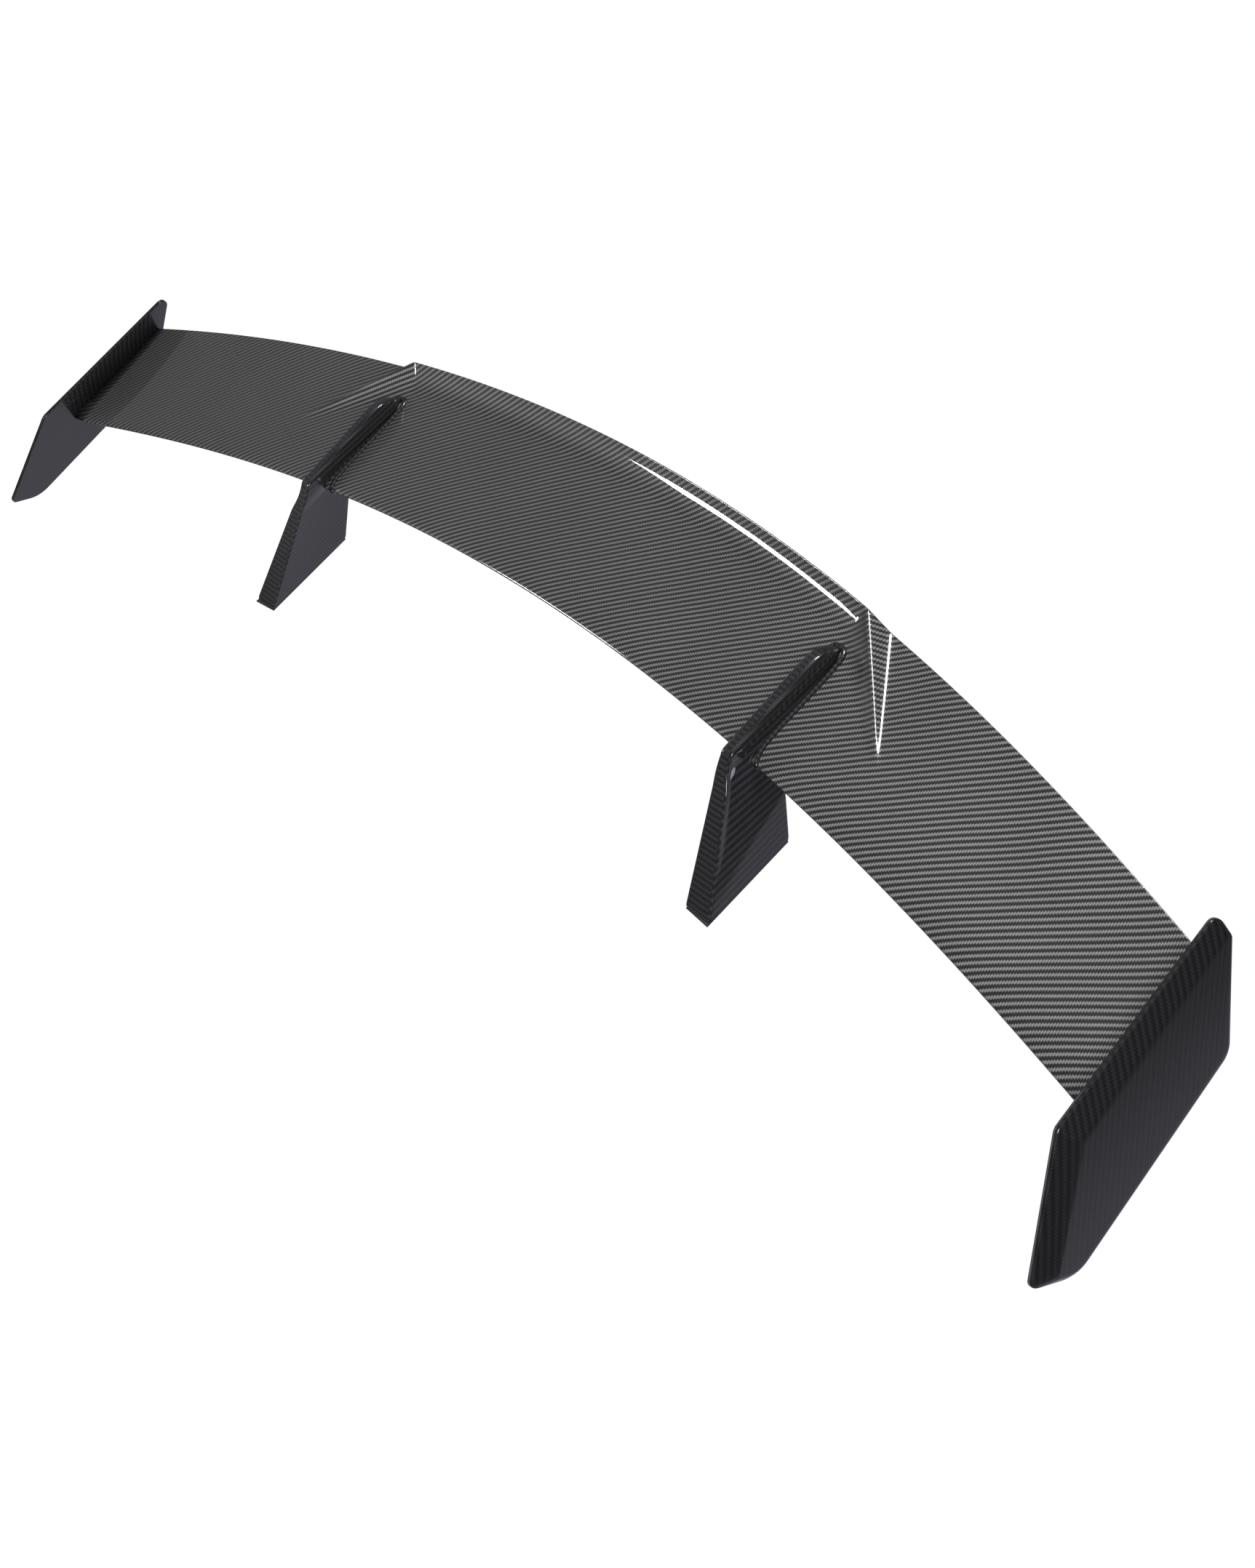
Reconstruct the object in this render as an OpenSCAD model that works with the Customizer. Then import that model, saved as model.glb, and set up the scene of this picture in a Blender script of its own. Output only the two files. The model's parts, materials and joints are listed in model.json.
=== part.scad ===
// Fixed swan-neck rear wing for a road or track car: a bowed blade with a
// raised centre lip, two leaning supports that hook over the leading edge,
// and two flared endplates.  Each moulding, core, spar and plate is a solid
// of its own.
// +X runs along the span, the leading edge faces -Y and +Z is up.  The
// origin is the centre of the four bolts, on the underside of the feet.

/* [Blade] */
// Distance between the endplates, at the endplates' own datum height
blade_span = 1680; // [1500:5:1800]
// Height of the leading edge above the feet, at mid span
le_height = 97; // [90:1:110]
// Distance of the leading edge behind the bolt centre, at mid span
le_setback = 91; // [85:1:95]
// Distance that the leading edge swings forward between mid span and tip
le_sweep = 110; // [60:1:130]
// Distance that the leading edge drops between mid span and tip
le_droop = 45; // [20:1:60]
// Chord at mid span, measured level
blade_chord = 185; // [170:1:200]
// Distance that the trailing edge swings forward between mid span and tip
te_sweep = 140; // [100:1:150]
// Rise of the trailing edge above the leading edge, at mid span
te_rise = 15; // [0:1:25]
// Distance that the trailing edge drops between mid span and tip
te_droop = 34; // [10:1:50]
// Greatest thickness of the section, as a fraction of the chord
thickness_ratio = 0.08; // [0.07:0.005:0.11]
// Depth of the dished upper surface, as a fraction of the chord
dish_ratio = 0.03; // [0:0.005:0.05]
// Thickness of the blade's laminate
skin_t = 1.6; // [1.2:0.1:2.2]

/* [Centre lip] */
// Height of the lip above the trailing edge
lip_h = 18; // [10:1:24]
// Length of the concave run from the blade up to the lip
lip_run = 34; // [24:1:40]
// Half of the lip's length
lip_half = 367; // [350:1:380]
// How far beyond the lip its end facet reaches along the trailing edge
facet_w = 32; // [20:1:40]
// Spanwise place of the point where the side ridges die out
ridge_tip_x = 478; // [440:1:500]
// Distance behind mid-span leading edge of that point
ridge_tip_y = 38; // [30:1:60]

/* [Endplates] */
// Outward lean of each endplate
flare = 20.8; // [0:0.1:24]
// Thickness of the rim along the top and front edges
rim_t = 5; // [4:0.5:7]
// Thickness at the crease where the bevels meet the outer face
plate_t = 13; // [10:0.5:16]
// Thickness of the endplates' laminate
plate_skin = 1.5; // [1:0.1:2]

/* [Supports] */
// Distance between the two rows of bolts, across the car
foot_spacing = 764; // [740:1:790]
// Distance between the two bolts of one foot
bolt_spacing = 64; // [50:1:70]
// Tapping-drill radius of the bolt holes
bolt_r = 3.4; // [2.5:0.1:4.2]
// Depth of the bolt holes
bolt_depth = 12; // [8:1:12]
// Thickness of each foot block
foot_t = 14; // [14:0.5:16]
// Thickness of the supports' laminate
shell_t = 2.2; // [1.6:0.1:2.6]
// Thickness of the spine plate inside each support
spine_t = 5; // [3:0.5:5]
// Thickness of the pad under each foot
pad_t = 1.5; // [1:0.5:3]

/* [Hidden] */

half_span = blade_span / 2;
LEFT = 1;
RIGHT = -1;
GAP = 0.15;

// ---- the blade's plan and front view ----
// Even curves of the span: k = 0 at mid span, 1 at the tip; q is the share
// taken by the fourth power.
function span_k(x) = abs(x) / half_span;
function even(k, q) = (1 - q) * k * k + q * pow(k, 4);
function le_y(x) = le_setback - le_sweep * even(span_k(x), -0.09);
function le_z(x) = le_height - le_droop * even(span_k(x), -0.14);
function te_y(x) = le_setback + blade_chord - te_sweep * even(span_k(x), -0.11);
function te_z(x) = le_height + te_rise - te_droop * even(span_k(x), 0.4);

// ---- the blade's section ----
te_half = 1.6;
function chord_at(x) = norm([te_y(x) - le_y(x), te_z(x) - le_z(x)]);
function pitch_at(x) = atan2(te_z(x) - le_z(x), te_y(x) - le_y(x));
// Half thickness at the fraction s of the chord, for a chord of 1
function half_t(s) = 5 * thickness_ratio
    * (0.2969 * sqrt(s) - 0.126 * s - 0.3516 * s * s + 0.2843 * pow(s, 3) - 0.1036 * pow(s, 4));
function camber(s) = -4 * dish_ratio * s * (1 - s);
// A point of the section at span x: fraction s of the chord, height h above the camber line
function section_point(x, s, h) = let (c = chord_at(x), a = pitch_at(x), b = camber(s) * c + h)
    [x, le_y(x) + s * c * cos(a) - b * sin(a), le_z(x) + s * c * sin(a) + b * cos(a)];
function outer_h(x, s) = half_t(s) * chord_at(x) + te_half * s;
function inner_h(x, s) = max(0, outer_h(x, s) - skin_t);

// ---- the raised lip and its side ridges, as a height over the plan ----
lip_a = [lip_half, te_y(lip_half)];
lip_b = [lip_half + facet_w, te_y(lip_half + facet_w)];
ridge_t = [ridge_tip_x, le_setback + ridge_tip_y];
ridge_len = norm(ridge_t - lip_a);
ridge_dir = (ridge_t - lip_a) / ridge_len;
function side_of(p) = (p - lip_a) * [-ridge_dir[1], ridge_dir[0]];
facet_foot = abs(side_of(lip_b));
function run_up(t) = pow(max(0, 1 - t), 1.8);
function ridge_q(p) = min(1, max(0, (p - lip_a) * ridge_dir / ridge_len));
// Height at the plan point [|x|, y], whose distance ahead of the trailing edge is a
function raise(p, a) = let (d = side_of(p), q = ridge_q(p), top = lip_h * (1 - q), foot = facet_foot * (1 - q) + 0.01)
    d > 0 ? top * max(0, 1 - d / foot)
          : max(p[0] < ridge_tip_x ? top * run_up(-d / (lip_run * (1 - 0.75 * q))) : 0,
                p[0] <= lip_half + facet_w ? lip_h * run_up(a / lip_run) : 0);
function lip_at(x, s) = raise([abs(x), section_point(x, s, 0)[1]], (1 - s) * chord_at(x));

// ---- a closed solid between two surfaces over the span and the chord ----
// lo and hi hold one row of points per span station; the rows run along the chord
function grid_faces(nx, ns, o, flip) = [for (i = [0 : nx - 2], j = [0 : ns - 2])
    let (a = o + i * ns + j, b = a + ns)
    each flip ? [[a, a + 1, b + 1], [a, b + 1, b]] : [[a, b + 1, a + 1], [a, b, b + 1]]];
function wall(a, b, o, flip) = flip ? [[a, b, b + o], [a, b + o, a + o]] : [[a, b + o, b], [a, a + o, b + o]];
function edge_faces(nx, ns) = let (o = nx * ns) [
    for (i = [0 : nx - 2], j = [0, ns - 1]) each wall(i * ns + j, (i + 1) * ns + j, o, j > 0),
    for (i = [0, nx - 1], j = [0 : ns - 2]) each wall(i * ns + j, i * ns + j + 1, o, i == 0)];
module between(lo, hi) {
    nx = len(lo);
    ns = len(lo[0]);
    pts = concat([for (row = lo) each row], [for (row = hi) each row]);
    polyhedron(pts, concat(grid_faces(nx, ns, 0, false), grid_faces(nx, ns, nx * ns, true), edge_faces(nx, ns)));
}
// Stations: even steps of about d from a to b
function steps(a, b, d) = let (n = max(1, ceil(abs(b - a) / d))) [for (i = [0 : n]) a + (b - a) * i / n];
function mirrored(v) = concat([for (i = [len(v) - 1 : -1 : 1]) -v[i]], v);
// Ends of the blade lie on the leaning inner face of the endplate
plate_datum = le_height - 13.3;
function plate_x(z) = half_span + GAP / 3 - (z - plate_datum) * tan(flare);
function end_trim(p) = abs(p[0]) < half_span - 0.01 ? p
    : [sign(p[0]) * plate_x(p[2]), p[1], p[2]];
span_grid = mirrored(concat(steps(0, lip_half - 47, 80), steps(lip_half - 27, ridge_tip_x, 10), steps(ridge_tip_x + 36, half_span, 65)));
chord_grid = [0, 0.004, 0.015, 0.035, 0.07, 0.12, 0.2, 0.3, 0.42, 0.54, 0.64, 0.72, 0.79, 0.85, 0.9, 0.94, 0.97, 1];
low_grid = [0, 0.004, 0.015, 0.035, 0.07, 0.12, 0.2, 0.3, 0.42, 0.54, 0.66, 0.78, 0.9, 1];
// Where the inner surface starts, just behind the nose
nose_start = 0.0055;
function nose_s(s) = nose_start + (1 - nose_start) * s;

// ---- hollows inside the blade ----
lip_wall = 3;
// Height of the hollow inside the lip above the camber line
function lip_hollow(x, s) = (1 - s) * chord_at(x) < 2 ? 0 : max(0, lip_at(x, s) - lip_wall);
// Thickness of the bond around what is inside the blade
bond = 0.9;
// A block inside the blade from span x0 to x1 and from chord fraction s0 to s1
module inner_block(x0, x1, s0, s1, dx = 60, ns = 4) {
    xs = steps(min(x0, x1), max(x0, x1), dx);
    ss = [for (i = [0 : ns]) s0 + (s1 - s0) * i / ns];
    between([for (x = xs) [for (s = ss) section_point(x, s, bond - inner_h(x, s))]],
            [for (x = xs) [for (s = ss) section_point(x, s, inner_h(x, s) - bond)]]);
}

module blade_upper_skin() {
    color("#3a3a3c")
    between([for (x = span_grid) [for (s = chord_grid)
                end_trim(section_point(x, nose_s(s), inner_h(x, nose_s(s)) + lip_hollow(x, nose_s(s))))]],
            [for (x = span_grid) [for (s = chord_grid) end_trim(section_point(x, s, outer_h(x, s) + lip_at(x, s)))]]);
}
module blade_lower_skin() {
    color("#2e2e30")
    between([for (x = span_grid) [for (s = low_grid) end_trim(section_point(x, s, -outer_h(x, s)))]],
            [for (x = span_grid) [for (s = low_grid) end_trim(section_point(x, nose_s(s), -inner_h(x, nose_s(s))))]]);
}

// ---- what is inside the blade ----
spar_s = [[0.19, 0.23], [0.6, 0.64]];
core_s = [spar_s[0][1] + 0.004, spar_s[1][0] - 0.004];
rib_x = [349, 365];
tip_rib_t = 14;
tip_x = half_span - 12;
module nose_core() {
    color("#c9b98a") inner_block(-tip_x, tip_x, 0.05, spar_s[0][0] - 0.004, 70, 3);
}
module front_spar() {
    color("#222224") inner_block(-tip_x, tip_x, spar_s[0][0], spar_s[0][1], 70, 1);
}
module rear_spar() {
    color("#222224") inner_block(-tip_x, tip_x, spar_s[1][0], spar_s[1][1], 70, 1);
}
module core_centre() {
    color("#c9b98a") inner_block(GAP - rib_x[0], rib_x[0] - GAP, core_s[0], core_s[1], 80, 4);
}
module core_side(side) {
    color("#c9b98a") inner_block(side * (rib_x[1] + GAP), side * tip_x, core_s[0], core_s[1], 80, 4);
}
module support_rib(side) {
    color("#b9bcc0") inner_block(side * rib_x[0], side * rib_x[1], core_s[0], core_s[1], 20, 4);
}
module lip_core() {
    xs = mirrored(steps(0, lip_half - 40, 60));
    ss = [0.87, 0.9, 0.94, 0.965];
    color("#c9b98a")
    between([for (x = xs) [for (s = ss) section_point(x, s, GAP)]],
            [for (x = xs) [for (s = ss) section_point(x, s, max(2 * GAP, 0.9 * lip_hollow(x, s) - GAP))]]);
}
dowel_r = 3.5;
dowel_s = [0.3, 0.55];
dowel_len = 25;
dowel_x = half_span + 2.5;
module at_dowels(side) {
    for (s = dowel_s) {
        p = section_point(dowel_x, s, 0.5);
        translate([side * p[0], p[1], p[2]])
        rotate([0, 90, 0])
        children();
    }
}
module tip_rib(side) {
    color("#b9bcc0")
    difference() {
        inner_block(side * (tip_x + GAP), side * (tip_x + tip_rib_t), spar_s[0][0], spar_s[1][1], 20, 4);
        at_dowels(side) cylinder(r = dowel_r, h = 80, center = true, $fn = 32);
    }
}
module tip_dowels() {
    color("#d6d8da")
    for (side = [LEFT, RIGHT]) at_dowels(side) cylinder(r = dowel_r, h = dowel_len, center = true, $fn = 32);
}

// ---- endplates: outlines in the plate's own plane, [rearward, up, corner radius] ----
plate_outline = [[-143, 6, 12], [-239, -83, 6], [-203, -110, 38], [14, -75, 24], [79, 33, 9]];
face_outline = [[-135, -14, 3], [-217, -92, 10], [-201, -107.5, 37], [13, -73, 22], [72, 15, 4]];
function unit(v) = v / norm(v);
function arc_at(a, b, c, r, n) = let (p = [b[0], b[1]], u = unit([a[0], a[1]] - p), v = unit([c[0], c[1]] - p),
        half = acos(u * v) / 2, m = p + unit(u + v) * r / sin(half),
        s = p + u * r / tan(half) - m, e = p + v * r / tan(half) - m,
        a0 = atan2(s[1], s[0]), turn = atan2(s[0] * e[1] - s[1] * e[0], s * e))
    [for (i = [0 : n]) m + r * [cos(a0 + turn * i / n), sin(a0 + turn * i / n)]];
function rounded(o, grow = 0, n = 6) = let (k = len(o)) [for (i = [0 : k - 1])
    each arc_at(o[(i + k - 1) % k], o[i], o[(i + 1) % k], max(0.5, o[i][2] + grow), n)];
// The outline moved in by d, corner by corner
function inset(o, d) = let (k = len(o)) [for (i = [0 : k - 1])
    let (p = [o[i][0], o[i][1]], u = unit([o[(i + k - 1) % k][0], o[(i + k - 1) % k][1]] - p),
         v = unit([o[(i + 1) % k][0], o[(i + 1) % k][1]] - p), w = unit(u + v),
         q = p + w * d / sin(acos(u * v) / 2))
    [q[0], q[1], max(0.5, o[i][2] - d)]];
// The outer face is a plane: full thickness at the crease's front corner, thinner to the lower rear
function face_t(p, t) = t - 0.0123 * (p[0] + 135) + 0.0527 * (p[1] + 14);
// A solid through rings of equal length, which run anticlockwise as seen from the last one
module loft(rings) {
    n = len(rings[0]);
    k = len(rings);
    sides = [for (i = [0 : k - 2], j = [0 : n - 1]) each wall(i * n + j, i * n + (j + 1) % n, n, false)];
    polyhedron([for (r = rings) each r],
        concat([[for (j = [0 : n - 1]) j]], sides, [[for (j = [n - 1 : -1 : 0]) (k - 1) * n + j]]));
}
module endplate_body(d, base) {
    outline = inset(plate_outline, d);
    face = inset(face_outline, d);
    rim = rim_t - d;
    loft([[for (p = rounded(outline)) [base, p[0], p[1]]],
          [for (p = rounded(outline)) [rim, p[0], p[1]]],
          [for (p = rounded(face)) [face_t(p, plate_t) - d, p[0], p[1]]]]);
}
module on_endplate(side) {
    mirror([side == RIGHT ? 1 : 0, 0, 0])
    translate([half_span + GAP / 3, le_setback, plate_datum])
    rotate([0, -flare, 0])
    children();
}
// A flat plate from thickness a to b in the endplate's plane
module plate_slab(outline, a, b) {
    translate([a, 0, 0])
    rotate([90, 0, 90])
    linear_extrude(b - a) polygon(rounded(outline));
}
module endplate_outer(side) {
    color("#1d1e21")
    on_endplate(side)
    resize([0, 0, 0])
    difference() {
        endplate_body(0, plate_skin);
        endplate_body(plate_skin, plate_skin - 1);
    }
}
module endplate_inner(side) {
    color("#232427")
    difference() {
        on_endplate(side) plate_slab(plate_outline, GAP, plate_skin - 0.01);
        at_dowels(side) cylinder(r = dowel_r, h = 80, center = true, $fn = 32);
    }
}
module endplate_core(side) {
    color("#c9b98a")
    difference() {
        on_endplate(side) endplate_body(plate_skin + GAP, plate_skin + GAP);
        at_dowels(side) cylinder(r = dowel_r + GAP, h = dowel_len + 1, center = true, $fn = 32);
    }
}

// ---- supports ----
// Level cuts through one support, in the wing's frame.  Heights run from the
// foot's underside; y is measured from the mid-span leading edge.
foot_x = foot_spacing / 2;
function front_y(z) = le_setback - 150 + 1.04 * z;
function front_in(z) = foot_x - 18 - 0.14 * z;
function front_out(z) = foot_x + 17 - 0.315 * z;
function rear_in(z) = [foot_x - 10 - 0.12 * z, le_setback - 27 + 0.62 * z];
function rear_out(z) = [foot_x + 15 - 0.18 * z, le_setback - 37 + 0.5 * z];
// Depth of the hollowed outer side at height z
function scoop(z) = 4 * pow(max(0, min(1, (z - 26) / 50)), 1.3);
function lerp(a, b, t) = a + (b - a) * t;
// One level ring, d inside the outer face
function post_ring(z, d) = let (
        fi = [front_in(z) + d, front_y(z) + d * 1.2], fo = [front_out(z) - d, front_y(z) - 3 + d * 1.2],
        ro = rear_out(z) + [-d, -d], ri = rear_in(z) + [d, -d], so = scoop(z),
        m1 = lerp(fo, ro, 0.22) - [so, 0], m2 = lerp(fo, ro, 0.5) - [so, 0], m3 = lerp(fo, ro, 0.8) - [so / 2, 0])
    [for (p = [fi, fo, m1, m2, m3, ro, ri, lerp(ri, fi, 0.5)]) [p[0], p[1], z]];
post_levels = [14, 26, 36, 46, 58, 70, 84];
post_top = 85;
hook_top = 109;
// The post under the blade and the hook in front of it
module post_body(d) {
    difference() {
        loft([for (z = concat([min(0, -d)], post_levels, [hook_top - d])) post_ring(z, d)]);
        translate([foot_x - 60, le_y(fin_mid) - d, post_top]) cube([120, 120, 60]);
    }
}
// The fin over the blade, as cross rings from the hook to the nose
fin_mid = foot_x - 24.5;
fin_start = front_y(hook_top);
fin_len = 150;
fin_top = 23.5;
fin_w = 15;
edge_r = 3.5;
function chord_z(x, y) = lerp(le_z(x), te_z(x), (y - le_y(x)) / (te_y(x) - le_y(x)));
// Height of the fin above the chord, and its half width, at the share t of its length
function fin_rise(t) = fin_top * (t < 0.74 ? 1 : pow(max(0, 1 - pow((t - 0.74) / 0.26, 2.2)), 0.8)) + 1.5;
function fin_half(t) = fin_w / 2 * (t < 0.84 ? 1 : pow(max(0.02, 1 - pow((t - 0.84) / 0.16, 2)), 0.5));
function fin_x(t) = fin_mid + 3 * t;
function fin_ring(t, d) = let (
        y = fin_start + fin_len * t, x = fin_x(t), h = fin_half(t) - d, base = chord_z(x, y) - 1,
        top = max(base + 2, chord_z(x, y) + fin_rise(t) - d), c = min(edge_r, h * 0.6, (top - base) / 2))
    [[x - h, y, base], [x - h, y, top - c], [x - h + c, y, top],
     [x + h - c, y, top], [x + h, y, top - c], [x + h, y, base]];
fin_cuts = concat(steps(0, 0.72, 0.12), steps(0.76, 0.98, 0.035));
module fin_body(d) {
    loft([for (t = fin_cuts) if (t < 0.96 - d / 60) fin_ring(max(t, d / 60), d)]);
}
// The blade's own volume near one support, grown by g
module blade_block(x0, x1, g) {
    xs = [for (x = span_grid) if (x > x0 && x < x1) x];
    between([for (x = xs) [for (s = low_grid) section_point(x, s, -outer_h(x, s) - g)]],
            [for (x = xs) [for (s = low_grid) section_point(x, s, outer_h(x, s) + g)]]);
}
module on_side(side) {
    mirror([side == RIGHT ? 1 : 0, 0, 0]) children();
}
module support_shell(side) {
    color("#26272a")
    on_side(side)
    resize([0, 0, 0])
    difference() {
        union() {
            post_body(0);
            fin_body(0);
        }
        post_body(shell_t);
        fin_body(shell_t);
        blade_block(fin_mid - 60, fin_mid + 60, GAP);
    }
}
// A low bead along both sides of the fin and round its nose
bead_w = 24;
bead_h = 3.2;
function bead_ring(t) = let (
        y = fin_start + fin_len * t, x = fin_x(t), h = (bead_w - fin_w) / 2 + fin_half(t),
        base = chord_z(x, y) - 1, top = section_point(x, (y - le_y(x)) / (te_y(x) - le_y(x)), 0)[2]
            + outer_h(x, (y - le_y(x)) / (te_y(x) - le_y(x))) + bead_h)
    [[x - h, y, base], [x - h, y, top - 2], [x - h + 2, y, top],
     [x + h - 2, y, top], [x + h, y, top - 2], [x + h, y, base]];
module fin_bead(side) {
    color("#1b1c1f")
    on_side(side)
    difference() {
        loft([for (t = concat(steps(0.14, 0.86, 0.12), [0.92, 0.97, 1.0, 1.02])) bead_ring(t)]);
        fin_body(-GAP);
        translate([foot_x - 60, le_y(fin_mid) - 60, 0]) cube([120, 62, 200]);
        blade_block(fin_mid - 60, fin_mid + 60, GAP);
    }
}
// Bonding strip under the spine's upper arm
saddle_t = 3;
module saddle(side) {
    xs = [for (x = [fin_mid - 2.5, fin_mid + 1, fin_mid + 5]) side * x];
    ss = steps(0.1, 0.62, 0.06);
    rows = side == LEFT ? xs : [xs[2], xs[1], xs[0]];
    color("#b9bcc0")
    between([for (x = rows) [for (s = ss) section_point(x, s, outer_h(x, s) + 2 * GAP)]],
            [for (x = rows) [for (s = ss) section_point(x, s, outer_h(x, s) + saddle_t)]]);
}
// The spine plate leans inward with the support
lean = 12.6;
spine_foot = foot_x + 1;
// [y, height] of the plate's corners: post, rear, notch under the nose, upper arm
spine_outline = [
    [-34, foot_t + GAP], [52, foot_t + GAP], [70, 58], [58, 74], [61, 92], [72, 98.5],
    [163, 105], [160, 116], [70, 109], [52, 103]];
module spine(side) {
    color("#a9adb2")
    on_side(side)
    difference() {
        translate([spine_foot, 0, 0])
        rotate([0, -lean, 0])
        translate([-spine_t / 2, 0, 0])
        rotate([90, 0, 90])
        linear_extrude(spine_t) polygon([for (p = spine_outline) [p[0], p[1] / cos(lean)]]);
        translate([foot_x - 60, -60, foot_t + GAP - 10]) cube([120, 200, 10]);
        at_spine_screws() cylinder(r = screw_r, h = screw_len + 1, $fn = 24);
    }
}

// ---- feet ----
screw_r = 2.5;
screw_head_r = 4.8;
screw_len = 24;
screw_y = [-14, 14];
module at_spine_screws() {
    for (y = screw_y) translate([spine_foot - foot_t * tan(lean) / 2, y, 0]) children();
}
module at_bolts() {
    for (y = [-bolt_spacing / 2, bolt_spacing / 2]) translate([foot_x, y, 0]) children();
}
// Level outline of the foot, d inside the shell's outer face; the block clears the leaning walls
function foot_outline(d) = [
    [front_in(0) + d + 1.2, front_y(foot_t) + 1.2 * d], [front_out(foot_t) - d, front_y(foot_t) - 3 + 1.2 * d],
    [rear_out(foot_t)[0] - d, rear_out(0)[1] - d], [rear_in(0)[0] + d, rear_in(0)[1] - d]];
module foot_block(side) {
    color("#a9adb2")
    on_side(side)
    difference() {
        linear_extrude(foot_t) polygon(foot_outline(shell_t + GAP));
        at_bolts() translate([0, 0, -1]) cylinder(r = bolt_r, h = bolt_depth + 1, $fn = 48);
        at_spine_screws() translate([0, 0, -1]) cylinder(r = screw_r, h = foot_t + 2, $fn = 32);
        at_spine_screws() translate([0, 0, -0.01]) cylinder(r1 = screw_head_r, r2 = screw_r, h = 2.6, $fn = 32);
    }
}
module foot_pad(side) {
    color("#151515")
    on_side(side)
    difference() {
        translate([0, 0, -pad_t])
        linear_extrude(pad_t - 0.02) polygon([for (p = post_ring(0, 1)) [p[0], p[1]]]);
        at_bolts() translate([0, 0, -pad_t - 1]) cylinder(r = bolt_r + 1.1, h = pad_t + 2, $fn = 48);
    }
}
module spine_screws() {
    color("#55585c")
    for (side = [LEFT, RIGHT]) on_side(side) at_spine_screws() {
        translate([0, 0, 2.5]) cylinder(r = screw_r - 0.02, h = screw_len - 2.6, $fn = 24);
        translate([0, 0, 0.1]) cylinder(r1 = screw_head_r - 0.1, r2 = screw_r - 0.02, h = 2.45, $fn = 24);
    }
}

blade_upper_skin();
blade_lower_skin();
nose_core();
front_spar();
core_side(LEFT);  // core_left
core_centre();
core_side(RIGHT);  // core_right
rear_spar();
lip_core();
support_rib(LEFT);  // support_rib_left
support_rib(RIGHT);  // support_rib_right
tip_rib(LEFT);  // tip_rib_left
tip_rib(RIGHT);  // tip_rib_right
endplate_outer(LEFT);  // endplate_outer_left
endplate_outer(RIGHT);  // endplate_outer_right
endplate_inner(LEFT);  // endplate_inner_left
endplate_inner(RIGHT);  // endplate_inner_right
endplate_core(LEFT);  // endplate_core_left
endplate_core(RIGHT);  // endplate_core_right
tip_dowels();
support_shell(LEFT);  // support_shell_left
support_shell(RIGHT);  // support_shell_right
fin_bead(LEFT);  // fin_bead_left
fin_bead(RIGHT);  // fin_bead_right
saddle(LEFT);  // saddle_left
saddle(RIGHT);  // saddle_right
spine(LEFT);  // spine_left
spine(RIGHT);  // spine_right
foot_block(LEFT);  // foot_block_left
foot_block(RIGHT);  // foot_block_right
foot_pad(LEFT);  // foot_pad_left
foot_pad(RIGHT);  // foot_pad_right
spine_screws();
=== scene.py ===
"""Looks of a fixed swan-neck racing rear wing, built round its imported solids.

The frame holds every solid and its material slot.  The mouldings that show are
made again here as fine meshes on the same lines, and each piece gets its finish.
Sizes are in millimetres until a mesh is made; meshes are in metres.
"""

from __future__ import annotations

import json
import logging
import math
from dataclasses import dataclass
from enum import Enum

import bmesh
import bpy
import numpy as np
from mathutils import Matrix, Vector


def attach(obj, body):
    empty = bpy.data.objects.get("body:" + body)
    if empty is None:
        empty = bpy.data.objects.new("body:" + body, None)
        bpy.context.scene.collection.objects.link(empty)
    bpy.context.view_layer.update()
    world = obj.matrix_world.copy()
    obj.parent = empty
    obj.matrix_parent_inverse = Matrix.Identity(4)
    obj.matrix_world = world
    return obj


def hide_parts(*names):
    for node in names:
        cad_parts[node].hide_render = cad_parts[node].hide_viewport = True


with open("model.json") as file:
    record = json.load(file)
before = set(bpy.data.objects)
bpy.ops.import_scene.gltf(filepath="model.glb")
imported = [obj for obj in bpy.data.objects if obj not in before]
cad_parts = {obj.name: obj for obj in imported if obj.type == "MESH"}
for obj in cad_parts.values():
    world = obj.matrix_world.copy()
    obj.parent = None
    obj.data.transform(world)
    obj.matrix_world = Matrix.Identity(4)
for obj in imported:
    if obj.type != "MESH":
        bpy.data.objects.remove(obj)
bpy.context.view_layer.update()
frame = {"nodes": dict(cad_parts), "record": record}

MM = 0.001
CLOTH = "cloth"
Colour = tuple[float, float, float]
log = logging.getLogger("rear_wing")


# ---------------------------------------------------------------- small helpers
class Side(Enum):
    """The two halves of the wing, with the sign of their X."""

    LEFT = 1
    RIGHT = -1

    @property
    def word(self) -> str:
        """The side's name as the solids spell it."""
        return self.name.lower()


def even_steps(*spans: tuple[float, float, float]) -> np.ndarray:
    """Joins runs of even steps into one rising list.

    Args:
        spans: (start, end, longest step) of each run; each starts where the last ended.

    Returns:
        The stations, without repeats.
    """
    runs = [np.linspace(a, b, max(2, math.ceil((b - a) / step) + 1)) for a, b, step in spans]
    return np.unique(np.round(np.concatenate(runs), 6))


def soft_max(a: np.ndarray, b: np.ndarray | float, k: float) -> np.ndarray:
    """The larger of a and b, rounded over where they cross by about k."""
    return 0.5 * (a + b + np.sqrt((a - b) ** 2 + k * k))


def soft_min(a: np.ndarray, b: np.ndarray | float, k: float) -> np.ndarray:
    """The smaller of a and b, rounded over where they cross by about k."""
    return 0.5 * (a + b - np.sqrt((a - b) ** 2 + k * k))


def ease(t: np.ndarray) -> np.ndarray:
    """A smooth rise from 0 at t = 0 to 1 at t = 1.

    Args:
        t: How far along the rise; it is held to 0..1.

    Returns:
        The height of the rise.
    """
    t = np.clip(t, 0, 1)
    return t * t * (3 - 2 * t)


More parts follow.
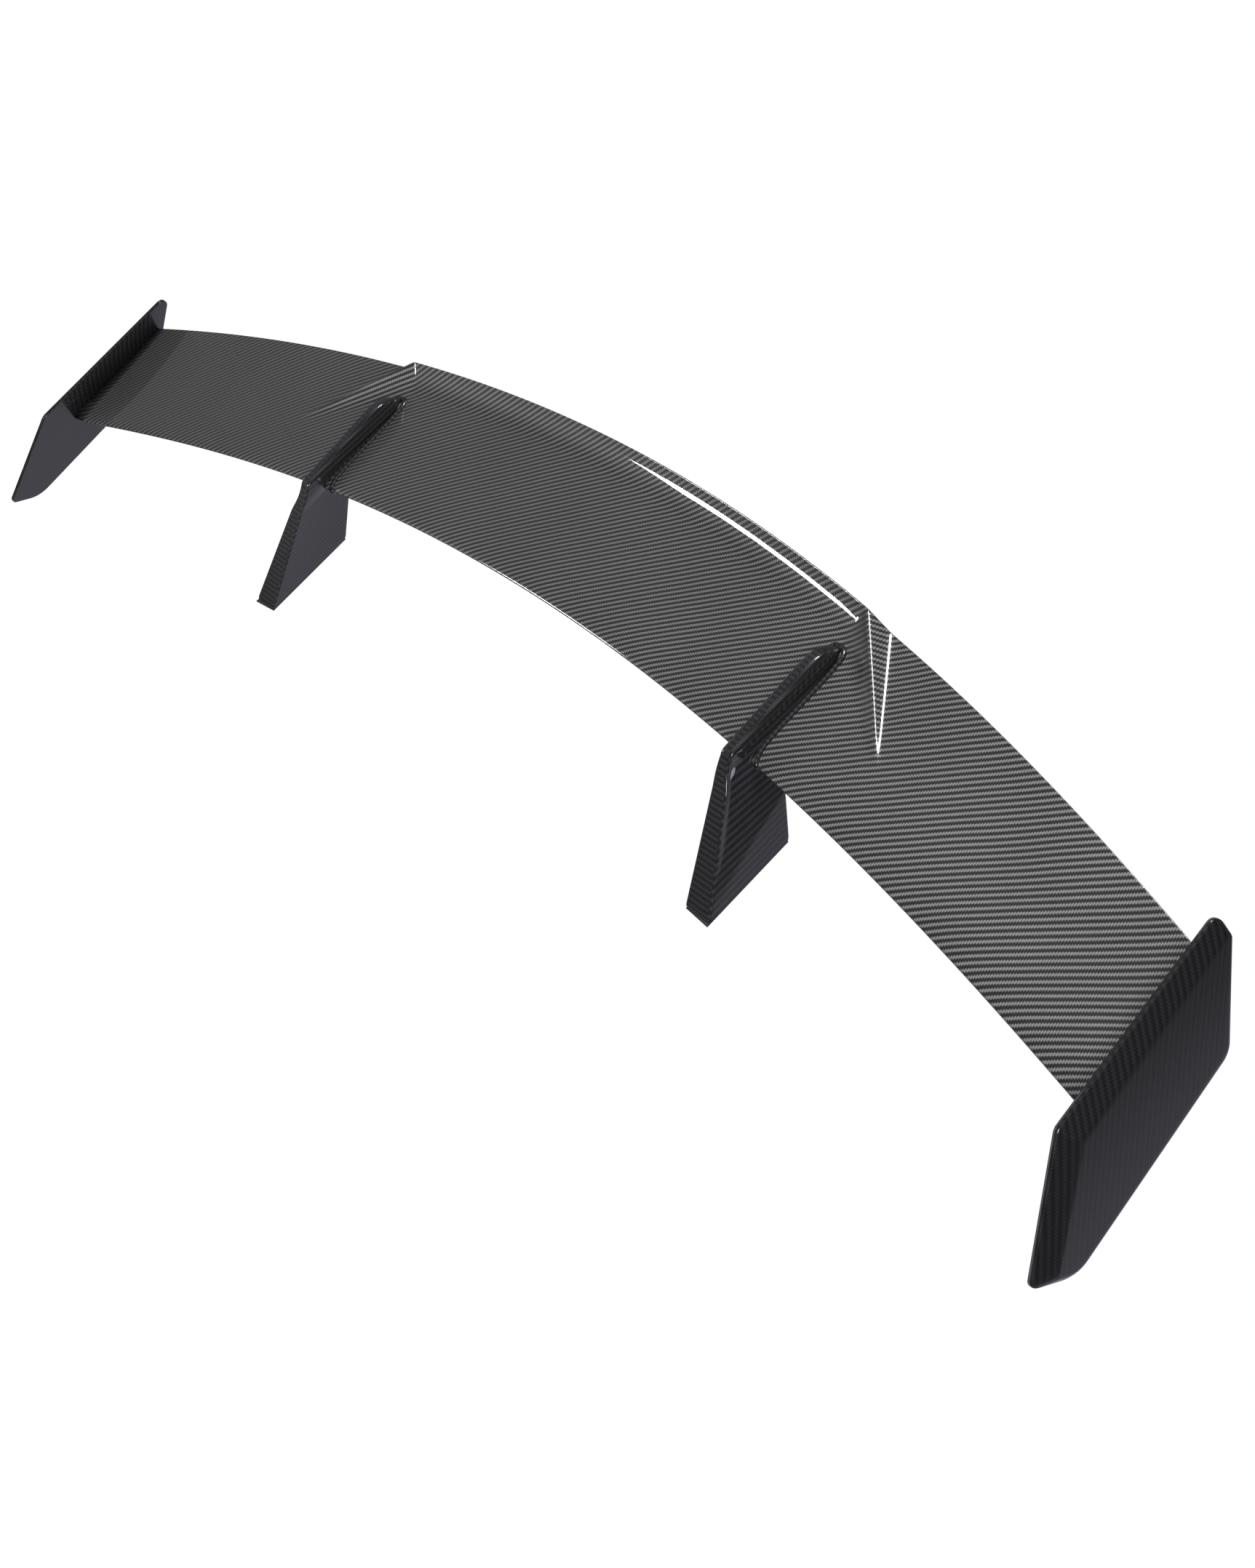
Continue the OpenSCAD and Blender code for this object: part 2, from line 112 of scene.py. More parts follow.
def towards(a: np.ndarray, b: np.ndarray, reach: np.ndarray | float) -> np.ndarray:
    """The points that lie reach from a on the way to b.

    Args:
        a: Where the ways start.
        b: Where they lead.
        reach: How far to go; never quite half of the way.

    Returns:
        One point for each way.
    """
    gap = b - a
    length = np.maximum(np.linalg.norm(gap, axis=-1, keepdims=True), 1e-6)
    return a + gap * np.minimum(np.asarray(reach)[..., None] / length, 0.49)


def corner(a: np.ndarray, c: np.ndarray, b: np.ndarray, n: int) -> list[np.ndarray]:
    """Points of the round between a and b, whose sharp corner is c.

    Args:
        a: Where the round starts.
        c: The sharp corner.
        b: Where the round ends.
        n: How many steps it has.

    Returns:
        n + 1 points, both ends with them.
    """
    return [(1 - t) ** 2 * a + 2 * t * (1 - t) * c + t * t * b for t in np.linspace(0, 1, n + 1)]


# ---------------------------------------------------------------- meshes
def lofted(name: str, rings: np.ndarray, cloth: np.ndarray, side: Side = Side.LEFT) -> bpy.types.Object:
    """Makes a closed solid through rings of points, with a cloth map.

    Args:
        name: Name of the new object.
        rings: Points in millimetres, one row of n points per ring.
        cloth: Where each face of a ring starts and ends on the flat cloth, as two
            places for each ring point.
        side: RIGHT mirrors the solid across the middle of the wing.

    Returns:
        The object, smooth shaded and linked to the scene.
    """
    k, n, _ = rings.shape
    points = rings.reshape(-1, 3) * (side.value * MM, MM, MM)
    quads = [
        (i * n + j, i * n + (j + 1) % n, (i + 1) * n + (j + 1) % n, (i + 1) * n + j)
        for i in range(k - 1)
        for j in range(n)
    ]
    caps = [tuple(range(n - 1, -1, -1)), tuple(range((k - 1) * n, k * n))]
    mesh = bpy.data.meshes.new(name)
    mesh.from_pydata(points.tolist(), [], quads + caps)
    layer = mesh.uv_layers.new(name=CLOTH)
    round_a_quad = ((0, 0), (0, 1), (1, 1), (1, 0))
    places = [cloth[i + di, j, dj] for i in range(k - 1) for j in range(n) for di, dj in round_a_quad]
    places += [cloth[0, j, 0] for j in range(n - 1, -1, -1)] + [cloth[k - 1, j, 0] for j in range(n)]
    layer.data.foreach_set("uv", (np.array(places) * MM).ravel())
    solid = bmesh.new()
    solid.from_mesh(mesh)
    bmesh.ops.recalc_face_normals(solid, faces=solid.faces)
    solid.to_mesh(mesh)
    solid.free()
    mesh.shade_smooth()
    piece = bpy.data.objects.new(name, mesh)
    bpy.context.scene.collection.objects.link(piece)
    keep_flats = piece.modifiers.new("keep_flats", "WEIGHTED_NORMAL")
    keep_flats.weight = 60
    return piece


def sheet(places: np.ndarray) -> np.ndarray:
    """Cloth places of a whole sheet: each face of a ring ends where the next one starts.

    Args:
        places: n + 1 places in each row.

    Returns:
        The start and end of each of the n faces.
    """
    return np.stack([places[:, :-1], places[:, 1:]], axis=2)


def running_length(points: np.ndarray) -> np.ndarray:
    """Length along each row of points, from its first point.

    Args:
        points: Rows of points.

    Returns:
        One length for each point.
    """
    steps = np.linalg.norm(np.diff(points, axis=1), axis=2)
    return np.concatenate([np.zeros((len(points), 1)), np.cumsum(steps, axis=1)], axis=1)


def finish_piece(piece: bpy.types.Object, material: bpy.types.Material, slot: str, *nodes: str) -> None:
    """Dresses a new piece, rides it on the wing and lets it stand for its solids.

    Args:
        piece: The object.
        material: Its finish.
        slot: The record's material slot; not used.
        nodes: The solids that it stands for.
    """
    piece.data.materials.clear()
    piece.data.materials.append(material)
    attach(piece, "root")
    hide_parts(*nodes)
    log.info("made %s: %d faces, for %s", piece.name, len(piece.data.polygons), ", ".join(nodes))


# ---------------------------------------------------------------- shader nodes
class Graph:
    """Adds nodes to one node tree and wires them."""

    def __init__(self, tree: bpy.types.NodeTree) -> None:
        """Takes the tree that is built."""
        self.tree = tree

    def node(self, kind: str, **settings: object) -> bpy.types.Node:
        """Adds a node of a kind and sets its properties.

        Args:
            kind: The node type, without its ShaderNode prefix.
            **settings: Properties and their values.

        Returns:
            The new node.
        """
        made = self.tree.nodes.new("ShaderNode" + kind)
        for key, value in settings.items():
            setattr(made, key, value)
        return made

    def feed(self, socket: bpy.types.NodeSocket, source: object) -> None:
        """Links a source socket into a socket, or sets the socket's value.

        Args:
            socket: The input.
            source: An output socket or a plain value.
        """
        if isinstance(source, bpy.types.NodeSocket):
            self.tree.links.new(source, socket)
        else:
            socket.default_value = source

    def math(self, operation: str, *terms: object) -> bpy.types.NodeSocket:
        """Adds a Math node of one operation and gives its result.

        Args:
            operation: Blender's name of the operation.
            *terms: Sockets or numbers.

        Returns:
            The result socket.
        """
        made = self.node("Math", operation=operation)
        for socket, term in zip(made.inputs, terms):
            self.feed(socket, term)
        return made.outputs[0]

    def blend(self, factor: object, low: object, high: object) -> bpy.types.NodeSocket:
        """Mixes two colours by a factor.

        Args:
            factor: A socket or a number.
            low: The colour at 0.
            high: The colour at 1.

        Returns:
            The mixed colour.
        """
        made = self.node("Mix", data_type="RGBA")
        for index, term in ((0, factor), (6, low), (7, high)):
            self.feed(made.inputs[index], (*term, 1.0) if isinstance(term, tuple) else term)
        return made.outputs[2]

    def spread(self, value: object, low: float, high: float) -> bpy.types.NodeSocket:
        """Carries a value from 0..1 to low..high."""
        return self.math("MULTIPLY_ADD", value, high - low, low)

    def fade(self, value: object, start: float, end: float, curve: str = "LINEAR") -> bpy.types.NodeSocket:
        """Carries a value from start..end to 0..1, and holds it there beyond them.

        Args:
            value: The value.
            start: Where the result is 0.
            end: Where the result is 1.
            curve: Blender's name of the way between them.

        Returns:
            The result socket.
        """
        made = self.node("MapRange", interpolation_type=curve)
        for name, term in (("Value", value), ("From Min", start), ("From Max", end)):
            self.feed(made.inputs[name], term)
        return made.outputs[0]

    def noise(self, vector: object, scale: float, detail: float = 2.0) -> bpy.types.NodeSocket:
        """A noise value over a vector.

        Args:
            vector: The place.
            scale: How fine the noise is.
            detail: How many finer layers it has.

        Returns:
            The noise, in 0..1.
        """
        made = self.node("TexNoise")
        made.inputs["Scale"].default_value = scale
        made.inputs["Detail"].default_value = detail
        self.feed(made.inputs["Vector"], vector)
        return made.outputs["Fac"]

    def stretched(self, vector: object, x: float, y: float) -> bpy.types.NodeSocket:
        """A vector whose X and Y are scaled, for streaks.

        Args:
            vector: The place.
            x: Scale along X.
            y: Scale along Y.

        Returns:
            The scaled vector.
        """
        made = self.node("VectorMath", operation="MULTIPLY")
        self.feed(made.inputs[0], vector)
        made.inputs[1].default_value = (x, y, 1.0)
        return made.outputs[0]


def new_group(
    name: str, inputs: dict[str, str], outputs: dict[str, str]
) -> tuple[Graph, bpy.types.Node, bpy.types.Node]:
    """Starts a shader node group.

    Args:
        name: The group's name.
        inputs: Name and kind of each input socket, such as "Float" or "Vector".
        outputs: Name and kind of each output socket.

    Returns:
        Its graph, its input node and its output node.
    """
    tree = bpy.data.node_groups.new(name, "ShaderNodeTree")
    for direction, sockets in (("INPUT", inputs), ("OUTPUT", outputs)):
        for socket, kind in sockets.items():
            tree.interface.new_socket(name=socket, in_out=direction, socket_type="NodeSocket" + kind)
    return Graph(tree), tree.nodes.new("NodeGroupInput"), tree.nodes.new("NodeGroupOutput")


def twill_group() -> bpy.types.NodeTree:
    """Builds the 2x2 twill: which tow is on top, its crown, its fibres and the gaps.

    Returns:
        A group that takes the place on the cloth, the tow's width and the cloth's turn.
    """
    graph, given, result = new_group(
        "twill_2x2",
        {"Cloth": "Vector", "Tow": "Float", "Turn": "Float"},
        {"Warp": "Float", "Crown": "Float", "Fibre": "Float", "Drift": "Float"},
    )
    turned = graph.node("VectorRotate", rotation_type="Z_AXIS")
    graph.feed(turned.inputs["Vector"], given.outputs["Cloth"])
    graph.feed(turned.inputs["Angle"], given.outputs["Turn"])
    in_tows = graph.node("VectorMath", operation="DIVIDE")
    tow = graph.node("CombineXYZ")
    for socket, value in zip(tow.inputs, (given.outputs["Tow"], given.outputs["Tow"], 1.0)):
        graph.feed(socket, value)
    graph.feed(in_tows.inputs[0], turned.outputs[0])
    graph.feed(in_tows.inputs[1], tow.outputs[0])
    # a slow wander keeps the rows from being ruler straight
    wander = graph.spread(graph.noise(in_tows.outputs[0], 0.025, 1.0), -0.3, 0.3)
    split = graph.node("SeparateXYZ")
    graph.feed(split.inputs[0], in_tows.outputs[0])
    px = graph.math("ADD", split.outputs[0], wander)
    py = graph.math("SUBTRACT", split.outputs[1], wander)
    i, j = graph.math("FLOOR", px), graph.math("FLOOR", py)
    fx, fy = graph.math("FRACT", px), graph.math("FRACT", py)
    phase = graph.math("FLOORED_MODULO", graph.math("SUBTRACT", i, j), 4.0)
    warp = graph.math("LESS_THAN", phase, 1.5)
    # place along the float, which is two cells long
    along_warp = graph.math("MULTIPLY", graph.math("ADD", graph.math("SUBTRACT", 1.0, phase), fy), 0.5)
    along_weft = graph.math("MULTIPLY", graph.math("ADD", graph.math("SUBTRACT", phase, 2.0), fx), 0.5)
    along = pick(graph, warp, along_weft, along_warp)
    across = pick(graph, warp, fy, fx)
    crown = graph.math("MULTIPLY", half_wave(graph, across, 0.5), half_wave(graph, along, 0.6))
    streak_warp = graph.noise(graph.stretched(in_tows.outputs[0], 9.0, 0.45), 1.0, 3.0)
    streak_weft = graph.noise(graph.stretched(in_tows.outputs[0], 0.45, 9.0), 1.0, 3.0)
    outputs = {
        "Warp": warp,
        "Crown": crown,
        "Fibre": pick(graph, warp, streak_weft, streak_warp),
        "Drift": graph.noise(in_tows.outputs[0], 0.012, 2.0),
    }
    for name, value in outputs.items():
        graph.feed(result.inputs[name], value)
    return graph.tree


def pick(graph: Graph, choice: bpy.types.NodeSocket, no: object, yes: object) -> bpy.types.NodeSocket:
    """A float that is no where choice is 0 and yes where it is 1.

    Args:
        graph: Where the node is added.
        choice: The choice, 0 or 1.
        no: Socket or number for 0.
        yes: Socket or number for 1.

    Returns:
        The picked value.
    """
    made = graph.node("Mix", data_type="FLOAT")
    for index, term in ((0, choice), (2, no), (3, yes)):
        graph.feed(made.inputs[index], term)
    return made.outputs[0]


def half_wave(graph: Graph, value: object, power: float) -> bpy.types.NodeSocket:
    """A rounded hump over 0..1.

    Args:
        graph: Where the nodes are added.
        value: Place over the hump.
        power: Below 1 makes the hump fuller.

    Returns:
        The height of the hump.
    """
    hump = graph.math("SINE", graph.math("MULTIPLY", value, math.pi))
    return graph.math("POWER", graph.math("MAXIMUM", hump, 0.0), power)


def grain_group() -> bpy.types.NodeTree:
    """Builds a fine grain with slow blotches, for foam, rubber and metal.

    Returns:
        A group that takes a place and a grain size, and gives a grain and a blotch value.
    """
    graph, given, result = new_group(
        "grain", {"Place": "Vector", "Grains": "Float"}, {"Grain": "Float", "Blotch": "Float"}
    )
    for name, share, detail in (("Grain", 1.0, 6.0), ("Blotch", 0.06, 2.0)):
        made = graph.node("TexNoise")
        made.inputs["Detail"].default_value = detail
        graph.feed(made.inputs["Vector"], given.outputs["Place"])
        graph.feed(made.inputs["Scale"], graph.math("MULTIPLY", given.outputs["Grains"], share))
        graph.feed(result.inputs[name], made.outputs["Fac"])
    return graph.tree


def new_material(name: str) -> tuple[bpy.types.Material, Graph, bpy.types.Node]:
    """Starts a material with one Principled BSDF.

    Args:
        name: The material's name.

    Returns:
        The material, its graph and its shader.
    """
    material = bpy.data.materials.new(name)
    material.use_nodes = True
    return material, Graph(material.node_tree), material.node_tree.nodes["Principled BSDF"]


def placed_group(graph: Graph, group: bpy.types.NodeTree, **values: object) -> bpy.types.Node:
    """Places a group in a material and feeds its inputs.

    Args:
        graph: The material's graph.
        group: The node group.
        **values: A value or socket for each input.

    Returns:
        The placed group.
    """
    made = graph.node("Group", node_tree=group)
    for name, value in values.items():
        graph.feed(made.inputs[name], value)
    return made


@dataclass(frozen=True)
class CarbonFinish:
    """Clear-coated black carbon twill, with a painted sheen on the warp tows and a painted shade where it is
    seen at a slant.
    """

    name: str
    slot: str
    # painted sheen: the weft is near the fibre's own black; the warp's far lighter colour is that black plus
    # painted light its tows catch
    warp: Colour = (0.25, 0.247, 0.238)
    weft: Colour = (0.026, 0.026, 0.029)
    gap: Colour = (0.008, 0.008, 0.009)
    # painted shade: the flat dark grey that takes over from the weave where the surface is seen at a slant
    slant_shade: Colour = (0.022, 0.022, 0.024)
    tow_mm: float = 2.0
    turn_deg: float = 3.0
    fibre_tone: tuple[float, float] = (0.45, 1.55)
    drift_tone: tuple[float, float] = (0.8, 1.2)
    fibre_rough: tuple[float, float] = (0.38, 0.5)
    crown_power: float = 0.5
    slant_shade_span: tuple[float, float] = (0.14, 0.56)
    slant_shade_most: float = 0.78
    metal: float = 0.3
    shine: float = 0.25
    coat_rough: float = 0.02
    coat_ior: float = 1.5
    relief_mm: float = 0.12

    def material(self, twill: bpy.types.NodeTree) -> bpy.types.Material:
        """Builds the finish as a material.

        Args:
            twill: The shared twill group.

        Returns:
            The material.
        """
        made, graph, shader = new_material(self.name)
        cloth = graph.node("UVMap", uv_map=CLOTH)
        weave = placed_group(
            graph, twill, Cloth=cloth.outputs[0], Tow=self.tow_mm * MM, Turn=math.radians(self.turn_deg)
        )
        # painted sheen: cells where the warp is on top take the lighter warp colour
        tow_colour_and_sheen = graph.blend(weave.outputs["Warp"], self.weft, self.warp)
        fibres = graph.spread(weave.outputs["Fibre"], *self.fibre_tone)
        lit = graph.node("Mix", data_type="RGBA", blend_type="MULTIPLY")
        lit.inputs[0].default_value = 1.0
        grey = graph.node("CombineColor")
        shade = graph.math("MULTIPLY", fibres, graph.spread(weave.outputs["Drift"], *self.drift_tone))
        for socket in grey.inputs:
            graph.feed(socket, shade)
        graph.feed(lit.inputs[6], tow_colour_and_sheen)
        graph.feed(lit.inputs[7], grey.outputs[0])
        on_top = graph.math("POWER", weave.outputs["Crown"], self.crown_power)
        woven = graph.blend(on_top, self.gap, lit.outputs[2])
        # painted shade: seen at a slant, the weave and its painted sheen give way to one flat dark grey
        slant = graph.node("LayerWeight")
        slant.inputs["Blend"].default_value = 0.5
        slant_shade_share = graph.math("MULTIPLY", graph.fade(slant.outputs["Facing"], *self.slant_shade_span), self.slant_shade_most)
        colour = graph.blend(slant_shade_share, woven, self.slant_shade)
        graph.feed(shader.inputs["Base Color"], colour)
        graph.feed(shader.inputs["Roughness"], graph.spread(weave.outputs["Fibre"], *self.fibre_rough))
        bump = graph.node("Bump")
        bump.inputs["Strength"].default_value = 1.0
        bump.inputs["Distance"].default_value = self.relief_mm * MM
        graph.feed(bump.inputs["Height"], weave.outputs["Crown"])
        graph.feed(shader.inputs["Normal"], bump.outputs[0])
        shader.inputs["Metallic"].default_value = self.metal
        shader.inputs["Specular IOR Level"].default_value = self.shine
        shader.inputs["Coat Weight"].default_value = 1.0
        shader.inputs["Coat Roughness"].default_value = self.coat_rough
        shader.inputs["Coat IOR"].default_value = self.coat_ior
        return made


@dataclass(frozen=True)
class PlainFinish:
    """A grained finish of one colour, for foam, rubber, metal and uncoated laminate."""

    name: str
    slot: str
    colour: Colour
    rough: float
    metal: float = 0.0
    grains: float = 900.0
    tint: float = 0.25
    rough_spread: float = 0.08
    relief_mm: float = 0.05
    relief_share: float = 0.4

    def material(self, grain: bpy.types.NodeTree) -> bpy.types.Material:
        """Builds the finish as a material.

        Args:
            grain: The shared grain group.

        Returns:
            The material.
        """
        made, graph, shader = new_material(self.name)
        place = graph.node("TexCoord")
        texture = placed_group(graph, grain, Place=place.outputs["Object"], Grains=self.grains)
        dark = tuple(c * (1 - self.tint) for c in self.colour)
        light = tuple(min(1.0, c * (1 + self.tint)) for c in self.colour)
        half_blotch = graph.math("MULTIPLY", texture.outputs["Blotch"], 0.5)
        mixed = graph.math("MULTIPLY_ADD", texture.outputs["Grain"], 0.5, half_blotch)
        graph.feed(shader.inputs["Base Color"], graph.blend(mixed, dark, light))
        low, high = self.rough - self.rough_spread, self.rough + self.rough_spread
        graph.feed(shader.inputs["Roughness"], graph.spread(texture.outputs["Blotch"], low, high))
        shader.inputs["Metallic"].default_value = self.metal
        bump = graph.node("Bump")
        bump.inputs["Strength"].default_value = self.relief_share
        bump.inputs["Distance"].default_value = self.relief_mm * MM
        graph.feed(bump.inputs["Height"], texture.outputs["Grain"])
        graph.feed(shader.inputs["Normal"], bump.outputs[0])
        return made


# ---------------------------------------------------------------- the blade
@dataclass(frozen=True)
class WingLines:
    """The curves that the whole wing is built on, as the solids have them."""

    half_span: float = 840.0
    le_height: float = 97.0
    le_setback: float = 91.0
    le_sweep: float = 110.0
    le_droop: float = 45.0
    chord: float = 185.0
    te_sweep: float = 140.0
    te_rise: float = 15.0
    te_droop: float = 34.0
    thickness: float = 0.08
    dish: float = 0.03
    te_half: float = 1.6
    skin: float = 1.6
    flare_deg: float = 20.8
    plate_drop: float = 13.3
    plate_gap: float = 0.05
    le_sweep_q: float = -0.09
    le_droop_q: float = -0.14
    te_sweep_q: float = -0.11
    te_droop_q: float = 0.4

    def even(self, x: np.ndarray, q: float) -> np.ndarray:
        """A curve that is 0 at mid span and 1 at the tip, with the share q of the fourth power.

        Args:
            x: Span.
            q: Share of the fourth power; the square has the rest.

        Returns:
            The curve at each span.
        """
        k = np.abs(x) / self.half_span
        return (1 - q) * k**2 + q * k**4

    def leading(self, x: np.ndarray) -> tuple[np.ndarray, np.ndarray]:
        """Y and Z of the leading edge at span x."""
        return (
            self.le_setback - self.le_sweep * self.even(x, self.le_sweep_q),
            self.le_height - self.le_droop * self.even(x, self.le_droop_q),
        )

    def trailing(self, x: np.ndarray) -> tuple[np.ndarray, np.ndarray]:
        """Y and Z of the trailing edge at span x."""
        return (
            self.le_setback + self.chord - self.te_sweep * self.even(x, self.te_sweep_q),
            self.le_height + self.te_rise - self.te_droop * self.even(x, self.te_droop_q),
        )

    def chord_at(self, x: np.ndarray) -> np.ndarray:
        """Length of the chord at span x.

        Args:
            x: Span.

        Returns:
            The length, leading edge to trailing edge.
        """
        (ly, lz), (ty, tz) = self.leading(x), self.trailing(x)
        return np.hypot(ty - ly, tz - lz)

    def outer(self, x: np.ndarray, s: np.ndarray) -> np.ndarray:
        """Half thickness of the section at span x and chord fraction s.

        Args:
            x: Span.
            s: Chord fraction.

        Returns:
            The height of the outer surface over the camber line.
        """
        shape = 0.2969 * np.sqrt(s) - 0.126 * s - 0.3516 * s**2 + 0.2843 * s**3 - 0.1036 * s**4
        return 5 * self.thickness * shape * self.chord_at(x) + self.te_half * s

    def inner(self, x: np.ndarray, s: np.ndarray) -> np.ndarray:
        """Half height of the hollow inside the laminate."""
        return np.maximum(0, self.outer(x, s) - self.skin)

    def point(self, x: np.ndarray, s: np.ndarray, h: np.ndarray | float) -> np.ndarray:
        """The point at span x, chord fraction s and height h above the camber line.

        Args:
            x: Span.
            s: Chord fraction.
            h: Height above the camber line.

        Returns:
            The points, with X, Y and Z last.
        """
        x, s, h = np.broadcast_arrays(np.asarray(x, float), s, h)
        (ly, lz), (ty, tz) = self.leading(x), self.trailing(x)
        c, a = np.hypot(ty - ly, tz - lz), np.arctan2(tz - lz, ty - ly)
        b = -4 * self.dish * s * (1 - s) * c + h
        y = ly + s * c * np.cos(a) - b * np.sin(a)
        z = lz + s * c * np.sin(a) + b * np.cos(a)
        return np.stack([x, y, z], axis=-1)

    def end_x(self, z: np.ndarray) -> np.ndarray:
        """Span of the endplate's inner face at height z.

        Args:
            z: Height.

        Returns:
            The span.
        """
        datum = self.le_height - self.plate_drop
        return self.half_span + self.plate_gap - (z - datum) * math.tan(math.radians(self.flare_deg))


@dataclass(frozen=True)
class Lip:
    """The raised centre lip and the ridges that run forward from its ends."""

    lines: WingLines
    height: float = 18.0
    run: float = 34.0
    half: float = 367.0
    facet: float = 32.0
    tip_x: float = 478.0
    tip_y: float = 129.0
    curve: float = 1.8
    crest: float = 1.1
    valley: float = 2.6
    run_fade: float = 0.75
    round_fade: float = 0.85
    foot_blend: float = 3.0
    least_rise: float = 0.02

    def ramp(self, t: np.ndarray) -> np.ndarray:
        """The concave run-up, 1 at t = 0 and 0 from t = 1."""
        return np.maximum(0, 1 - t) ** self.curve

    def rise(self, x: np.ndarray, y: np.ndarray, ahead: np.ndarray) -> np.ndarray:
        """Height that the lip and its ridges add to the upper surface.

        Args:
            x: Span.
            y: Distance behind the bolts, in plan.
            ahead: Distance ahead of the trailing edge.

        Returns:
            The added height.
        """
        x = np.abs(x)
        start = np.array([self.half, self.lines.trailing(np.float64(self.half))[0]])
        end = np.array([self.half + self.facet, self.lines.trailing(np.float64(self.half + self.facet))[0]])
        run = np.array([self.tip_x, self.tip_y]) - start
        length = np.hypot(*run)
        along = run / length
        out = np.array([-along[1], along[0]])
        q = np.clip(((x - start[0]) * along[0] + (y - start[1]) * along[1]) / length, 0, 1)
        d = (x - start[0]) * out[0] + (y - start[1]) * out[1]
        foot = abs((end - start) @ out) * (1 - q) + 0.01
        top = self.height * (1 - q)
        inboard = np.where(x < self.tip_x, top * self.ramp(-d / (self.run * (1 - self.run_fade * q))), 0)
        lip = np.where(x < self.half + self.facet + 2, self.height * self.ramp(ahead / self.run), 0)
        fade = 1 - self.round_fade * q
        ridge = soft_min(np.maximum(inboard, lip), top * (1 - d / foot), self.crest * fade)
        valley = soft_max(ridge, 0.0, self.valley * fade)
        share = np.clip(1 + d / self.foot_blend, 0, 1)
        return (np.maximum(0, ridge) * (1 - share) + valley * share) * (top > self.least_rise)


@dataclass
class Blade:
    """The blade's two skins."""

    lines: WingLines
    lip: Lip
    edge_round: float = 1.3
    lip_edge_round: float = 0.7
    lip_wall: float = 3.0
    hollow_from: float = 0.006
    hollow_to: float = 0.985
    cloth_bow: float = 1.34e-4
    nose_shares: tuple[float, ...] = (
        *(0.0, 0.0008, 0.0025, 0.005, 0.009, 0.015),
        *(0.024, 0.037, 0.055, 0.08, 0.11, 0.15),
    )

    def chord_shares(self) -> np.ndarray:
        """Chord fractions of the section's points, close together round the nose."""
        return np.concatenate([self.nose_shares, np.linspace(0.19, self.hollow_to, 86), [1.0]])

    def spans(self) -> np.ndarray:
        """Span stations, closer together where the side ridges run."""
        half = even_steps((0, 340, 12), (340, 486, 2), (486, self.lines.half_span, 12))
        return np.concatenate([-half[:0:-1], half])

    def trimmed(self, points: np.ndarray) -> np.ndarray:
        """The points, with the last stations on the endplates' leaning faces.

        Args:
            points: Rings along the span; the first and last are changed in place.

        Returns:
            The same points.
        """
        for row, sign in ((0, -1), (-1, 1)):
            points[row, ..., 0] = sign * self.lines.end_x(points[row, ..., 2])
        return points

    def skin(self, upper: bool) -> tuple[np.ndarray, np.ndarray]:
        """Rings and cloth places of one skin.

        Args:
            upper: True for the upper skin, with its lip.

        Returns:
            The rings along the span and the cloth places of their points.
        """
        sign = 1 if upper else -1
        x = self.spans()[:, None]
        s = self.chord_shares()[None, :]
        flat = self.lines.point(x, s, 0)
        rise = 0 * flat[..., 0]
        if upper:
            rise = self.lip.rise(flat[..., 0], flat[..., 1], (1 - s) * self.lines.chord_at(x))
        face = self.lines.point(x, s, sign * self.lines.outer(x, s) + rise)
        foot = self.lines.point(x[:, 0], np.ones(len(x)), 0)
        tip, last = face[:, -1], face[:, -2]
        reach = self.edge_round + self.lip_edge_round * rise[:, -1] / self.lip.height
        edge = corner(towards(tip, last, reach), tip, towards(tip, foot, reach), 4)
        hollow = self.lines.inner(x, np.maximum(s, self.hollow_from))
        hollow = np.minimum(hollow, self.lines.outer(x, s))
        under_lip = np.maximum(0, rise - self.lip_wall) * (s < self.hollow_to)
        back = self.lines.point(x, s, sign * hollow + under_lip)[:, ::-1]
        front = np.concatenate([face[:, :-1], np.stack(edge, axis=1), foot[:, None]], axis=1)
        rings = self.trimmed(np.concatenate([front, back[:, 1:-1]], axis=1))
        length = running_length(front)
        middle = int(np.argmin(np.abs(s[0] - 0.5)))
        v = front[:, middle, 1][:, None] + length - length[:, middle][:, None]
        v = np.concatenate([v, v[:, ::-1][:, : back.shape[1] - 1]], axis=1)
        v = v + self.cloth_bow * x**2
        u = np.broadcast_to(x, v.shape)
        return rings, sheet(np.stack([u, v], axis=-1))

    def build(self, finish: CarbonFinish, material: bpy.types.Material) -> None:
        """Makes both skins and dresses them.

        Args:
            finish: The finish, for its slot.
            material: Its material.
        """
        for upper in (True, False):
            name = "upper_skin" if upper else "lower_skin"
            piece = lofted(f"fine_{name}", *self.skin(upper))
            finish_piece(piece, material, finish.slot, f"blade_{name}")


# ---------------------------------------------------------------- the endplates
Outline = tuple[tuple[float, float, float], ...]


